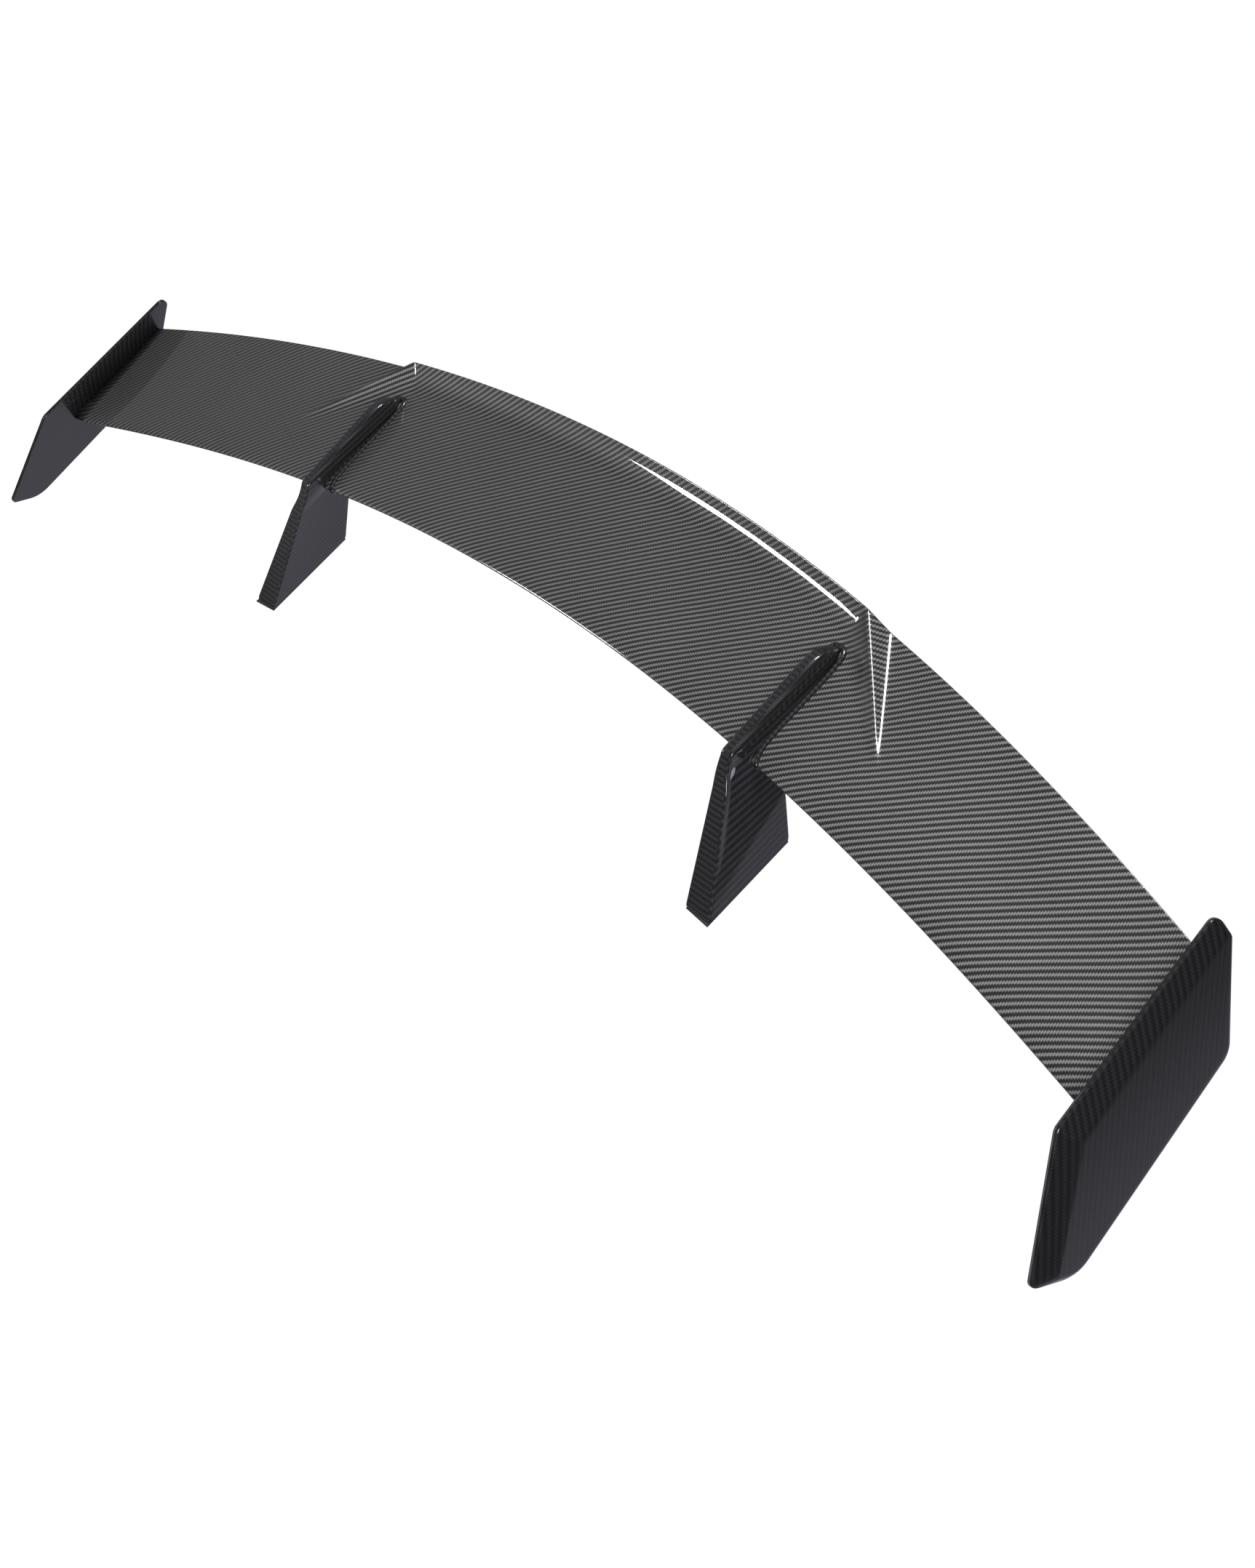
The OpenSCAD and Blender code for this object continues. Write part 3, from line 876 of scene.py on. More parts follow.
@dataclass
class Endplate:
    """One flared endplate: a hollow outer moulding and a flat inner skin.

    Outlines are corners in the plate's own plane: rearward, up, radius.
    """

    lines: WingLines
    side: Side
    rim: float = 5.0
    thick: float = 13.0
    skin: float = 1.5
    round_rim: float = 2.1
    round_crease: float = 3.0
    round_skin: float = 1.1
    least_round: float = 0.5
    skin_from: float = 0.15
    skin_knee: float = 1.0
    joint_gap: float = 0.02
    face_datum: tuple[float, float] = (-135.0, -14.0)
    face_slope: tuple[float, float] = (-0.0123, 0.0527)
    face_steps: tuple[float, ...] = (0.94, 0.7, 0.4, 0.1)
    rim_cloth: float = 0.35
    arc_points: int = 12
    outline: Outline = ((-143, 6, 12), (-239, -83, 6), (-203, -110, 38), (14, -75, 24), (79, 33, 9))
    face: Outline = ((-135, -14, 3), (-217, -92, 6), (-201, -107.5, 28), (13, -73, 22), (72, 15, 4))

    def loop(self, outline: Outline, inset: float = 0.0) -> np.ndarray:
        """The outline as points, moved in by inset, with its corners as arcs.

        Args:
            outline: Corners as rearward, up, radius.
            inset: How far the loop lies inside the outline.

        Returns:
            One row per point, rearward and up.
        """
        places = np.array([c[:2] for c in outline])
        loop = []
        for index, (_, _, radius) in enumerate(outline):
            here = places[index]
            before, after = places[index - 1] - here, places[(index + 1) % len(outline)] - here
            before, after = before / np.hypot(*before), after / np.hypot(*after)
            half = math.acos(float(before @ after)) / 2
            middle = (before + after) / np.hypot(*(before + after))
            r = max(self.least_round, radius - inset)
            centre = here + middle * (inset + r) / math.sin(half)
            turn = math.pi / 2 - half
            cross = before[0] * after[1] - before[1] * after[0]
            for t in np.linspace(-turn, turn, self.arc_points + 1):
                angle = math.atan2(-middle[1], -middle[0]) + (t if cross < 0 else -t)
                loop.append(centre + r * np.array([math.cos(angle), math.sin(angle)]))
        return np.array(loop)

    def ring(self, loop: np.ndarray, x: np.ndarray | float) -> np.ndarray:
        """Points of a loop at the distance x out from the plate's inner face."""
        return np.column_stack([np.broadcast_to(x, len(loop)), loop])

    def level(self, loop: np.ndarray) -> np.ndarray:
        """Distance of the flat outer face from the inner one at each point of a loop."""
        rearward, up = (loop - self.face_datum).T
        return self.thick + self.face_slope[0] * rearward + self.face_slope[1] * up

    def moulding(self, inset: float, rounds: bool) -> list[np.ndarray]:
        """Rings from the base out to the flat face, inset inside the outer surface.

        Args:
            inset: How far the rings lie inside the outer surface.
            rounds: True rounds the rim and the crease.

        Returns:
            The rings, from the base out.
        """
        loop, face = self.loop(self.outline, inset), self.loop(self.face, inset)
        base = self.ring(loop, self.skin if rounds else self.skin + self.joint_gap)
        shoulder = self.ring(loop, self.rim - inset)
        crease = self.ring(face, self.level(face) - inset)
        if not rounds:
            return [base, shoulder, crease]
        rim_in = towards(shoulder, base, np.full(len(loop), self.round_rim))
        rim_out = towards(shoulder, crease, np.full(len(loop), self.round_rim))
        near = towards(crease, shoulder, np.full(len(loop), self.round_crease))
        inner = self.loop(self.face, inset + self.round_crease)
        flat = self.ring(inner, self.level(inner) - inset)
        middle = flat.mean(axis=0)
        across_face = [middle + (flat - middle) * t for t in self.face_steps]
        return [base, *corner(rim_in, shoulder, rim_out, 5), *corner(near, crease, flat, 5), *across_face]

    def placed(self, rings: list[np.ndarray]) -> np.ndarray:
        """Rings carried from the plate's own frame into the wing's.

        Args:
            rings: Points as out, rearward and up in the plate's own frame.

        Returns:
            The same points as X, Y and Z.
        """
        local = np.array(rings)
        angle = math.radians(self.lines.flare_deg)
        x, y, w = local[..., 0], local[..., 1], local[..., 2]
        return np.stack(
            [
                self.lines.half_span + self.lines.plate_gap + x * math.cos(angle) - w * math.sin(angle),
                y + self.lines.le_setback,
                self.lines.le_height - self.lines.plate_drop + w * math.cos(angle) + x * math.sin(angle),
            ],
            axis=-1,
        )

    def cloth(self, rings: list[np.ndarray]) -> np.ndarray:
        """Cloth places: the plate's own plane, let out a little over the rim.

        Args:
            rings: Points in the plate's own frame.

        Returns:
            The start and end of each face on the cloth.
        """
        local = np.array(rings)
        places = local[..., 1:] + self.rim_cloth * local[..., :1] * np.array([0.0, 1.0])
        return sheet(np.concatenate([places, places[:, :1]], axis=1))

    def build(self, finish: CarbonFinish, material: bpy.types.Material) -> None:
        """Makes the moulding and the inner skin and dresses them.

        Args:
            finish: The finish, for its slot.
            material: Its material.
        """
        word = self.side.word
        shell = self.moulding(0.0, True)[::-1] + self.moulding(self.skin, False)
        piece = lofted(f"fine_endplate_outer_{word}", self.placed(shell), self.cloth(shell), self.side)
        finish_piece(piece, material, finish.slot, f"endplate_outer_{word}")
        loop, tucked = self.loop(self.outline), self.loop(self.outline, self.round_skin)
        start, knee = self.ring(tucked, self.skin_from), self.ring(loop, self.skin_from)
        rounded = corner(start, knee, self.ring(loop, self.skin_knee), 4)
        skin = [*rounded, self.ring(loop, self.skin - self.joint_gap)]
        piece = lofted(f"fine_endplate_inner_{word}", self.placed(skin), self.cloth(skin), self.side)
        finish_piece(piece, material, finish.slot, f"endplate_inner_{word}")


# ---------------------------------------------------------------- the supports
Line = tuple[float, float]


def at_height(line: Line, z: np.ndarray) -> np.ndarray:
    """The place of a straight line at height z."""
    return line[0] + line[1] * z


@dataclass
class Support:
    """One leaning support: a post ahead of and under the blade, and a fin over it."""

    lines: WingLines
    side: Side
    # a post line is its place at the deck and its change with each millimetre of height
    front_line: Line = (-150.0, 1.04)
    rear_out_line: Line = (-37.0, 0.5)
    rear_in_line: Line = (-27.0, 0.62)
    out_front_line: Line = (17.0, -0.315)
    out_rear_line: Line = (15.0, -0.18)
    in_front_line: Line = (-18.0, -0.14)
    in_rear_line: Line = (-10.0, -0.12)
    foot_x: float = 382.0
    fin_lean: float = 24.5
    fin_start: float = 54.36
    fin_length: float = 150.0
    fin_top: float = 23.5
    fin_width: float = 15.0
    fin_widens: float = 3.0
    nose_from: float = 0.84
    fall_from: float = 0.74
    fall_curve: tuple[float, float] = (2.2, 0.8)
    fin_seat: float = 1.5
    fin_blend: Line = (82.0, 106.0)
    post_top: float = 81.0
    under_roots: tuple[float, float] = (0.13, 0.24)
    over_root: float = 0.004
    hook_round: float = 7.0
    hook_drop: float = 0.7
    # the hollow of the outer side starts at a line of the side view
    scoop: float = 0.15
    scoop_place: tuple[float, float] = (1.0, 30.0)
    scoop_way: tuple[float, float] = (-0.214, 0.977)
    scoop_round: float = 5.0
    scoop_run: float = 12.0
    round_front: float = 2.6
    round_fin: float = 4.4
    shell: float = 2.2
    foot_deep: float = 13.8
    foot_round: float = 4.0
    sink: float = 0.4
    root_round: float = 0.3
    heel_round: float = 2.0
    side_points: int = 15

    # --- the lines of the post, at height z
    def tuck(self, z: np.ndarray) -> np.ndarray:
        """How far the edges draw in at height z, where the foot's corners are rounded.

        Args:
            z: Height over the foot.

        Returns:
            The distance.
        """
        t = 1 - np.clip(z / self.foot_round, 0, 1)
        return self.foot_round * (1 - np.sqrt(1 - t * t))

    def front(self, z: np.ndarray) -> np.ndarray:
        """Y of the front edge."""
        return self.lines.le_setback + at_height(self.front_line, z) + self.tuck(z)

    def rear(self, z: np.ndarray, outer: bool) -> np.ndarray:
        """Y of the rear edge, on the outer or the inner side.

        Args:
            z: Height over the foot.
            outer: True for the side away from the middle of the wing.

        Returns:
            Y of the edge.
        """
        line = self.rear_out_line if outer else self.rear_in_line
        return self.lines.le_setback + at_height(line, z) - self.tuck(z)

    def fin_centre(self, y: np.ndarray) -> np.ndarray:
        """X of the fin's middle."""
        return self.foot_x - self.fin_lean + self.fin_widens * (y - self.fin_start) / self.fin_length

    def fin_half(self, y: np.ndarray) -> np.ndarray:
        """Half of the fin's width, drawn in round the nose.

        Args:
            y: Distance behind the bolts.

        Returns:
            The half width.
        """
        t = np.clip((y - self.fin_start) / self.fin_length, 0, 1)
        into_nose = np.maximum(0, t - self.nose_from) / (1 - self.nose_from)
        return self.fin_width / 2 * np.sqrt(np.maximum(0.02, 1 - into_nose**2))

    def fin_crown(self, y: np.ndarray) -> np.ndarray:
        """Z of the fin's top.

        Args:
            y: Distance behind the bolts.

        Returns:
            Z of the top.
        """
        t = np.clip((y - self.fin_start) / self.fin_length, 0, 1)
        into_fall = np.maximum(0, t - self.fall_from) / (1 - self.fall_from)
        early, late = self.fall_curve
        return self.chord_z(y) + self.fin_seat + self.fin_top * np.maximum(0, 1 - into_fall**early) ** late

    def chord_z(self, y: np.ndarray) -> np.ndarray:
        """Z of the blade's chord line under the fin.

        Args:
            y: Distance behind the bolts.

        Returns:
            Z of the chord line.
        """
        x = self.fin_centre(y)
        (ly, lz), (ty, tz) = self.lines.leading(x), self.lines.trailing(x)
        return lz + (tz - lz) * (y - ly) / (ty - ly)

    def contour(self, s: np.ndarray, upper: bool) -> np.ndarray:
        """Y and Z of the blade's surface at chord fraction s, at the fin's place.

        Args:
            s: Chord fraction.
            upper: True for the upper surface.

        Returns:
            The places, with Y and Z last.
        """
        x = np.full(np.shape(s), self.foot_x - self.fin_lean)
        h = np.maximum(0, self.lines.outer(x, s) - self.sink)
        return self.lines.point(x, s, h if upper else -h)[..., 1:]

    # --- the two side faces, as X over the side view
    def face_x(self, y: np.ndarray, z: np.ndarray, outer: bool) -> np.ndarray:
        """X of a side face at a point of the side view.

        Args:
            y: Distance behind the bolts.
            z: Height over the foot.
            outer: True for the side away from the middle of the wing.

        Returns:
            X of the face.
        """
        behind = y - self.front(z)
        back = np.clip(behind / np.maximum(1, self.rear(z, outer) - self.front(z)), 0, 1)
        fore = self.out_front_line if outer else self.in_front_line
        aft = self.out_rear_line if outer else self.in_rear_line
        post = self.foot_x + at_height(fore, z) * (1 - back) + at_height(aft, z) * back
        if outer:
            (y0, z0), (way_y, way_z) = self.scoop_place, self.scoop_way
            over = (y - y0) * way_y + (z - z0) * way_z
            post = post - self.scoop * soft_max(over, 0.0, self.scoop_round) * ease(behind / self.scoop_run)
        fin = self.fin_centre(y) + (1 if outer else -1) * self.fin_half(y)
        start, end = self.fin_blend
        share = ease((z - start) / (end - start))
        return post * (1 - share) + fin * share

    def level(self, z: float) -> tuple[np.ndarray, np.ndarray, np.ndarray, float, float]:
        """The level section line of the post at height z.

        Args:
            z: Height over the foot.

        Returns:
            A section line, as stations gives them.
        """
        roots = [np.array([self.rear(z, outer), z]) for outer in (True, False)]
        return (*roots, np.array([self.front(z), z]), self.heel_round, self.round_front)

    def stations(self) -> list[tuple[np.ndarray, np.ndarray, np.ndarray, float, float]]:
        """Section lines from the foot to the nose of the fin.

        Returns:
            For each: the root on the outer side, the root on the inner side, the edge,
            the round at the root and the round at the edge, with points as Y and Z.
        """
        lines = [self.level(z) for z in (0, 0.3, 0.9, 1.8, 3.0, *np.linspace(4.5, self.post_top, 21))]
        corner_z = float(self.fin_crown(np.float64(self.fin_start)))
        bend_z = corner_z - self.hook_round * self.hook_drop
        for t in np.linspace(0, 1, 16)[1:]:
            roots = [self.contour(np.float64(share * (1 - t) ** 1.5), False) for share in self.under_roots]
            z = self.post_top + (bend_z - self.post_top) * t
            lines.append((*roots, np.array([self.front(z), z]), self.root_round, self.round_front))
        after = self.fin_start + self.hook_round
        bend = [np.array([self.front(bend_z), bend_z]), np.array([self.fin_start, corner_z])]
        bend.append(np.array([after, float(self.fin_crown(np.float64(after)))]))
        edges = corner(*bend, 9)[1:]
        for t, edge in zip(np.linspace(0.1, 1, len(edges)), edges):
            root = self.contour(np.float64(self.over_root * t), True)
            edge_round = self.round_front + (self.round_fin - self.round_front) * t
            lines.append((root, root, edge, self.root_round, edge_round))
        nose = self.fin_start + self.fin_length * 0.992
        for t in np.concatenate([np.linspace(0, 0.7, 22)[1:], np.linspace(0.72, 1, 26)]):
            y = after + (nose - after) * t
            top = np.array([y, float(self.fin_crown(np.float64(y)))])
            share = self.over_root + (self.share_at(nose) - self.over_root) * t
            root = self.contour(np.float64(share), True)
            lines.append((root, root, top, self.root_round, self.round_fin))
        return lines

    def share_at(self, y: float) -> float:
        """Chord fraction of the blade at the distance y behind the bolts.

        Args:
            y: Distance behind the bolts.

        Returns:
            The chord fraction.
        """
        x = np.float64(self.foot_x - self.fin_lean)
        ly, ty = self.lines.leading(x)[0], self.lines.trailing(x)[0]
        return float((y - ly) / (ty - ly))

    def section(
        self,
        out_root: np.ndarray,
        in_root: np.ndarray,
        edge: np.ndarray,
        root_round: float,
        edge_round: float,
    ) -> np.ndarray:
        """One closed ring of the support, from the outer side's root round to the inner side's.

        Args:
            out_root: Y and Z where the outer face starts.
            in_root: Y and Z where the inner face starts.
            edge: Y and Z of the front or top edge.
            root_round: Round of the corners at the root.
            edge_round: Round of the corners at the edge.

        Returns:
            The ring's points.
        """

        def on_face(place: np.ndarray, outer: bool) -> np.ndarray:
            """The point of a side face over a place of the side view."""
            return np.array([float(self.face_x(place[0], place[1], outer)), *place])

        sides = []
        for root, outer in ((out_root, True), (in_root, False)):
            tip, heel = on_face(edge, outer), on_face(root, outer)
            other_tip = on_face(edge, not outer)
            other_heel = on_face(in_root if outer else out_root, not outer)
            width = float(np.linalg.norm(tip - other_tip))
            tall = float(np.linalg.norm(edge - root))
            r = max(0.05, min(edge_round, 0.45 * width, 0.5 * tall))
            low = min(root_round, 0.2 * tall, 0.3 * float(np.linalg.norm(heel - other_heel)) + 0.01)
            shares = np.linspace(low / max(tall, 0.1), 1 - r / max(tall, 0.1), self.side_points)
            run = [on_face(root + (edge - root) * t, outer) for t in shares]
            at_root = corner(towards(heel, other_heel, low), heel, run[0], 3)
            at_edge = corner(run[-1], tip, towards(tip, other_tip, r), 5)
            sides.append([*at_root[:-1], *run, *at_edge[1:]])
        return np.array(sides[0] + sides[1][::-1])

    def shell_rings(self) -> np.ndarray:
        """Rings of the shell, which is open below for the foot block.

        Returns:
            The rings, from the inside of the foot out and up to the nose of the fin.
        """
        rings = [self.section(*line) for line in self.stations()]
        inner = []
        for z in (self.foot_deep, 0.0):
            wall = self.section(*self.level(z))
            centre = (wall.min(axis=0) + wall.max(axis=0)) / 2
            half = (wall.max(axis=0) - wall.min(axis=0)) / 2
            drawn_in = centre + (wall - centre) * (1 - self.shell / np.maximum(half, 10))
            drawn_in[:, 2] = z
            inner.append(drawn_in)
        return np.array([*inner, *rings])

    def build(self, finish: CarbonFinish, material: bpy.types.Material) -> None:
        """Makes the shell and its bead and dresses them.

        Args:
            finish: The finish, for its slot.
            material: Its material.
        """
        word = self.side.word
        rings = self.shell_rings()
        cloth = sheet(np.concatenate([rings, rings[:, :1]], axis=1)[..., 1:])
        # the strip down the front and over the top is laid across the support
        strip = rings.shape[1] // 2 - 1
        edge = rings[:, strip]
        up = np.concatenate([[0], np.cumsum(np.linalg.norm(np.diff(edge, axis=0), axis=1))])
        for end in (0, 1):
            cloth[:, strip, end] = np.stack([rings[:, strip + end, 0], up], axis=-1)
        piece = lofted(f"fine_support_{word}", rings, cloth, self.side)
        finish_piece(piece, material, finish.slot, f"support_shell_{word}")
        bead, bead_cloth = Bead(self).rings()
        piece = lofted(f"fine_bead_{word}", bead, bead_cloth, self.side)
        finish_piece(piece, material, finish.slot, f"fin_bead_{word}")


@dataclass
class Bead:
    """The rolled bead that runs round the fin's root and under the leading edge."""

    support: Support
    width: float = 6.4
    height: float = 3.4
    clear: float = 1.2
    lap: float = 1.0
    sink: float = 0.6
    flare: float = 7.0
    flare_fade: float = 0.05
    past_nose: float = 2.5
    under_reach: float = 0.055
    sides: int = 14

    def path(self) -> tuple[np.ndarray, np.ndarray]:
        """Places along the bead on the blade: span, and chord fraction, below zero underneath.

        Returns:
            The spans and the chord fractions.
        """
        nose_y = self.support.fin_start + self.support.fin_length
        nose = self.support.share_at(nose_y + self.past_nose)
        under = -np.linspace(self.under_reach, 0.002, 9)
        along = np.concatenate([under, np.linspace(0.0, 0.03, 8), np.linspace(0.045, nose - 0.1, 26)])
        y = self.behind(along)
        flared = self.flare * np.exp(-np.maximum(0, along) / self.flare_fade)
        half = self.support.fin_half(y) + self.clear + self.width / 2 - self.lap + flared
        turn = np.linspace(0, math.pi, 21)[1:-1]
        reach = nose - along[-1]
        bow_s = along[-1] + reach * np.sin(turn) ** 0.75
        bow_x = half[-1] * np.sign(np.cos(turn)) * np.abs(np.cos(turn)) ** 0.6
        offsets = np.concatenate([half, bow_x, -half[::-1]])
        shares = np.concatenate([along, bow_s, along[::-1]])
        return self.support.fin_centre(self.behind(shares)) + offsets, shares

    def behind(self, shares: np.ndarray) -> np.ndarray:
        """Distance behind the bolts of chord fractions, at the fin's place.

        Args:
            shares: Chord fractions, below zero for the underside.

        Returns:
            The distances.
        """
        x = np.full(shares.shape, self.support.foot_x - self.support.fin_lean)
        return self.support.lines.point(x, np.abs(shares), 0)[:, 1]

    def on_blade(self, x: np.ndarray, share: np.ndarray, h: float) -> np.ndarray:
        """A point h above the blade's surface, over it or, for a share below zero, under it.

        Args:
            x: Span.
            share: Chord fraction, below zero for the underside.
            h: Height above the surface.

        Returns:
            The points.
        """
        lines = self.support.lines
        height = np.sign(share + 1e-9) * (lines.outer(x, np.abs(share)) + h)
        return lines.point(x, np.abs(share), height)

    def rings(self) -> tuple[np.ndarray, np.ndarray]:
        """Rings of the bead and the cloth places of their points.

        Returns:
            The rings, and the cloth places with one column more.
        """
        x, share = self.path()
        line = self.on_blade(x, share, 0.0)
        away = self.on_blade(x, share, 1.0) - line
        front = np.exp(-((share / 0.008) ** 2))[:, None]
        away = away * (1 - front) + np.array([0.0, -1.0, -0.1]) * front
        away /= np.linalg.norm(away, axis=1, keepdims=True)
        ahead = np.gradient(line, axis=0)
        ahead /= np.linalg.norm(ahead, axis=1, keepdims=True)
        across = np.cross(ahead, away)
        across /= np.linalg.norm(across, axis=1, keepdims=True)
        ends = ease(np.minimum(np.arange(len(x)), np.arange(len(x))[::-1]) / 5 + 0.12)[:, None, None]
        angle = np.linspace(0, 2 * math.pi, self.sides, endpoint=False)[None, :, None]
        sideways = across[:, None] * np.cos(angle) * self.width / 2
        outward = away[:, None] * (np.sin(angle) * self.height - self.sink)
        rings = line[:, None] + ends * (sideways + outward)
        around = running_length(np.concatenate([rings, rings[:, :1]], axis=1))
        run = np.concatenate([[0], np.cumsum(np.linalg.norm(np.diff(line, axis=0), axis=1))])
        return rings, sheet(np.stack([around, np.broadcast_to(run[:, None], around.shape)], axis=-1))


# ---------------------------------------------------------------- the solids that stay
@dataclass
class KeptSolids:
    """The solids that show, or lie inside, just as they were packed."""

    finishes: dict[str, bpy.types.Material]

    def dress(self) -> None:
        """Gives every kept solid the finish of its slot."""
        slots = {part["node"]: part["material_slot"] for part in frame["record"]["subparts"]}
        for node, solid in frame["nodes"].items():
            material = self.finishes.get(slots[node])
            if material is None:
                continue
            solid.data.materials.clear()
            solid.data.materials.append(material)
            log.info("dressed %s in %s", node, material.name)


# ---------------------------------------------------------------- the studio
@dataclass(frozen=True)
class Softbox:
    """A rectangular light that faces a point of the wing."""

    name: str
    place: tuple[float, float, float]
    aim: tuple[float, float, float]
    size: tuple[float, float]
    watts: float

    def build(self) -> None:
        """Hangs the light."""
        lamp = bpy.data.lights.new(self.name, "AREA")
        lamp.shape = "RECTANGLE"
        lamp.size, lamp.size_y = self.size
        lamp.energy = self.watts
        box = bpy.data.objects.new(self.name, lamp)
        box.location = self.place
        box.rotation_mode = "QUATERNION"
        box.rotation_quaternion = (Vector(self.place) - Vector(self.aim)).to_track_quat("Z", "Y")
        bpy.context.scene.collection.objects.link(box)
        log.info("hung %s", self.name)


@dataclass
class Studio:
    """Floor, surroundings, lights and camera."""

    floor_z: float = -0.45
    floor_half: float = 14.0
    place: tuple[float, float, float] = (1.5948, -0.4714, 1.5989)
    azimuth_deg: float = 69.84
    elevation_deg: float = 47.04
    roll_deg: float = -29.64
    lens_mm: float = 50.21
    shift: tuple[float, float] = (-0.0110, -0.0159)
    floor_seen: Colour = (1.0, 1.0, 1.0)
    floor_glow: Colour = (0.25, 0.25, 0.26)
    floor_in_gloss: Colour = (0.52, 0.5, 0.59)
    far_floor_in_gloss: Colour = (0.08, 0.08, 0.09)
    floor_fade: tuple[float, float] = (1.62, 2.02)
    sky_in_gloss: Colour = (0.03, 0.03, 0.034)
    wall_side: tuple[float, float, float] = (-0.93, 0.2, 0.3)
    wall_in_gloss: Colour = (0.22, 0.22, 0.23)
    wall_fade: tuple[float, float] = (0.74, 0.99)
    sky_seen: Colour = (1.0, 1.0, 1.0)
    sky_level: Colour = (0.1, 0.1, 0.1)
    sky_above: Colour = (0.55, 0.55, 0.55)
    boxes: tuple[Softbox, ...] = (
        Softbox("lip_box", (-0.93, -0.69, 0.735), (0.2, 0.25, 0.118), (0.22, 0.11), 5.5),
        Softbox("ridge_box", (0.36, 1.4, 2.19), (0.43, 0.2, 0.11), (0.8, 0.6), 48.0),
        Softbox("edge_box", (-0.2, -1.9, 0.15), (0.5, 0.05, 0.08), (1.0, 0.12), 1.6),
        Softbox("key_box", (2.2, -0.9, 1.95), (0.6, 0.1, 0.08), (0.8, 0.8), 40.0),
    )

    def build(self) -> None:
        """Makes the floor, the surroundings, the lights and the camera."""
        self.make_floor()
        self.make_world()
        for box in self.boxes:
            box.build()
        self.make_camera()

    def make_floor(self) -> None:
        """Lays a plain pale floor well below the wing."""
        mesh = bpy.data.meshes.new("floor")
        h, z = self.floor_half, self.floor_z
        mesh.from_pydata([(-h, -h, z), (h, -h, z), (h, h, z), (-h, h, z)], [], [(0, 1, 2, 3)])
        floor = bpy.data.objects.new("floor", mesh)
        bpy.context.scene.collection.objects.link(floor)
        material, graph, shader = new_material("floor_paper")
        ray = graph.node("LightPath")
        glow = graph.blend(ray.outputs["Is Diffuse Ray"], self.floor_seen, self.floor_glow)
        place, reach = graph.node("TexCoord"), graph.node("VectorMath", operation="LENGTH")
        graph.feed(reach.inputs[0], place.outputs["Object"])
        far = graph.fade(reach.outputs["Value"], *self.floor_fade, "SMOOTHSTEP")
        gloss = graph.blend(far, self.floor_in_gloss, self.far_floor_in_gloss)
        glow = graph.blend(ray.outputs["Is Glossy Ray"], glow, gloss)
        graph.feed(shader.inputs["Emission Color"], glow)
        shader.inputs["Emission Strength"].default_value = 1.0
        side = graph.node("NewGeometry")
        graph.feed(shader.inputs["Alpha"], graph.math("SUBTRACT", 1.0, side.outputs["Backfacing"]))
        shader.inputs["Base Color"].default_value = (0, 0, 0, 1)
        shader.inputs["Roughness"].default_value = 1.0
        shader.inputs["Specular IOR Level"].default_value = 0.0
        mesh.materials.append(material)

    def make_world(self) -> None:
        """Surrounds the wing with soft light from above that its gloss sees as a dim room."""
        world = bpy.data.worlds.new("studio")
        world.use_nodes = True
        bpy.context.scene.world = world
        graph = Graph(world.node_tree)
        back = world.node_tree.nodes["Background"]
        ray, place, split = graph.node("LightPath"), graph.node("TexCoord"), graph.node("SeparateXYZ")
        graph.feed(split.inputs[0], place.outputs["Generated"])
        height = graph.math("MAXIMUM", split.outputs[2], 0.0)
        soft = graph.blend(height, self.sky_level, self.sky_above)
        shade = graph.blend(ray.outputs["Is Diffuse Ray"], self.sky_seen, soft)
        towards_wall = graph.node("VectorMath", operation="DOT_PRODUCT")
        graph.feed(towards_wall.inputs[0], place.outputs["Generated"])
        towards_wall.inputs[1].default_value = self.wall_side
        share = graph.fade(towards_wall.outputs["Value"], *self.wall_fade, "SMOOTHSTEP")
        gloss = graph.blend(share, self.sky_in_gloss, self.wall_in_gloss)
        shade = graph.blend(ray.outputs["Is Glossy Ray"], shade, gloss)
        graph.feed(back.inputs["Color"], shade)
        back.inputs["Strength"].default_value = 1.0

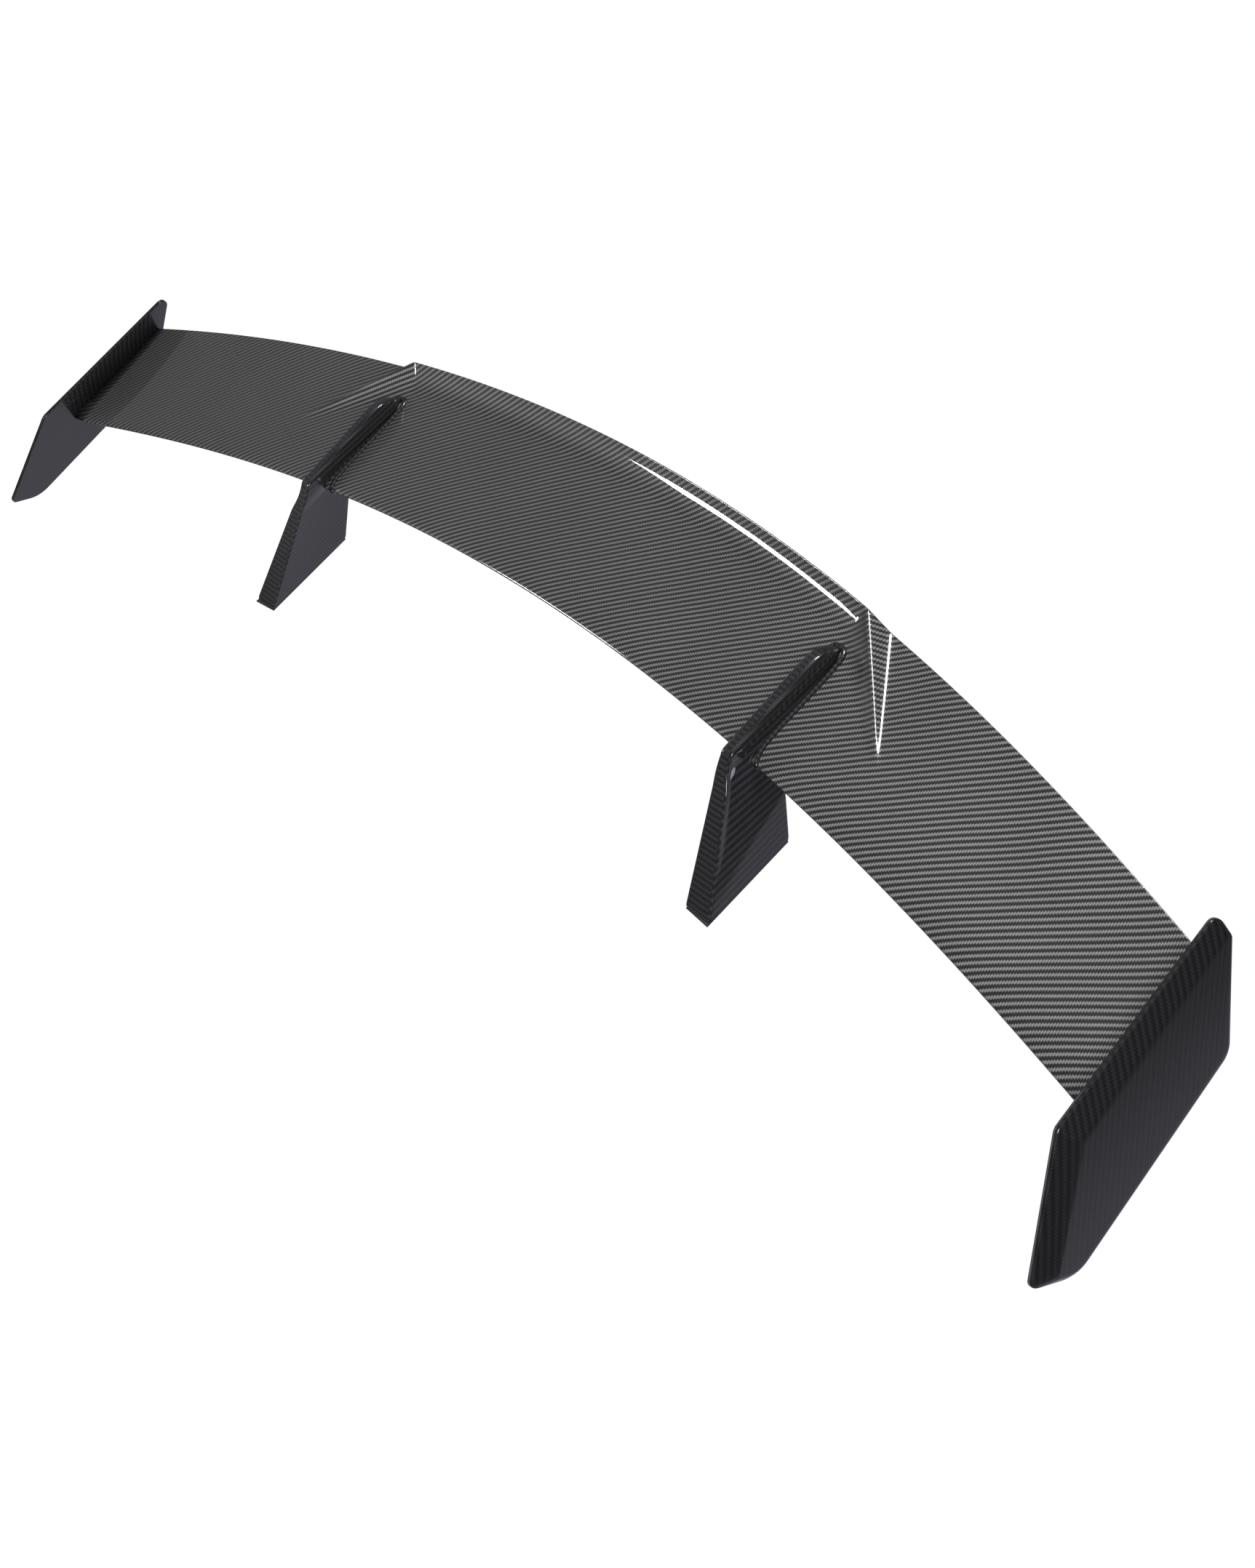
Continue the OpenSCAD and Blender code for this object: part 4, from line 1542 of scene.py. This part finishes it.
    def make_camera(self) -> None:
        """Sets the camera."""
        data = bpy.data.cameras.new("camera")
        data.lens = self.lens_mm
        data.sensor_width = 36.0
        data.shift_x, data.shift_y = self.shift
        data.clip_end = 60.0
        camera = bpy.data.objects.new("camera", data)
        a, e = math.radians(self.azimuth_deg), math.radians(self.elevation_deg)
        back = Vector((math.sin(a) * math.cos(e), -math.cos(a) * math.cos(e), math.sin(e)))
        right = Vector((math.cos(a), math.sin(a), 0.0))
        turn = Matrix.Rotation(math.radians(self.roll_deg), 3, back)
        right = turn @ right
        up = back.cross(right)
        camera.matrix_world = Matrix.Translation(self.place) @ Matrix((right, up, back)).transposed().to_4x4()
        bpy.context.scene.collection.objects.link(camera)
        bpy.context.scene.camera = camera
        bpy.context.scene.view_settings.view_transform = "Standard"
        bpy.context.scene.view_settings.look = "None"


def main() -> None:
    """Builds the wing's pieces in order, then the studio."""
    logging.basicConfig(level=logging.INFO, format="%(name)s: %(message)s")
    twill, grain = twill_group(), grain_group()
    blade_cloth = CarbonFinish("carbon_blade", "carbon_twill")
    # painted light: the endplate and support copies of the carbon are far darker than the blade's and carry
    # little of its painted warp sheen
    plate_cloth = CarbonFinish(
        "carbon_endplate",
        "carbon_dark",
        warp=(0.018, 0.018, 0.02),
        weft=(0.005, 0.005, 0.006),
        slant_shade=(0.01, 0.01, 0.012),
        turn_deg=-7.0,
    )
    post_cloth = CarbonFinish(
        "carbon_support",
        "carbon_support",
        warp=(0.04, 0.04, 0.042),
        weft=(0.01, 0.01, 0.012),
        slant_shade=(0.012, 0.012, 0.014),
        turn_deg=45.0,
    )
    plain = [
        PlainFinish("foam_core", "foam", (0.62, 0.52, 0.36), 0.85, grains=700.0, relief_mm=0.3),
        PlainFinish("spar_laminate", "carbon_spar", (0.03, 0.03, 0.03), 0.5, grains=1200.0),
        PlainFinish("machined_plate", "plate_metal", (0.62, 0.63, 0.65), 0.32, metal=1.0, tint=0.08),
        PlainFinish("ground_pin", "pin_steel", (0.6, 0.6, 0.61), 0.22, metal=1.0, tint=0.05),
        PlainFinish("black_screw", "screw_steel", (0.25, 0.25, 0.26), 0.4, metal=1.0, tint=0.1),
        PlainFinish("pad_rubber", "pad_rubber", (0.02, 0.02, 0.02), 0.8, grains=1500.0, relief_mm=0.15),
    ]
    finishes = {finish.slot: finish.material(grain) for finish in plain}
    carbon = {finish.slot: finish.material(twill) for finish in (blade_cloth, plate_cloth, post_cloth)}
    lines = WingLines()
    Blade(lines, Lip(lines)).build(blade_cloth, carbon[blade_cloth.slot])
    for side in Side:
        Endplate(lines, side).build(plate_cloth, carbon[plate_cloth.slot])
        Support(lines, side).build(post_cloth, carbon[post_cloth.slot])
    KeptSolids(finishes).dress()
    Studio().build()


if __name__ == "__main__":
    main()
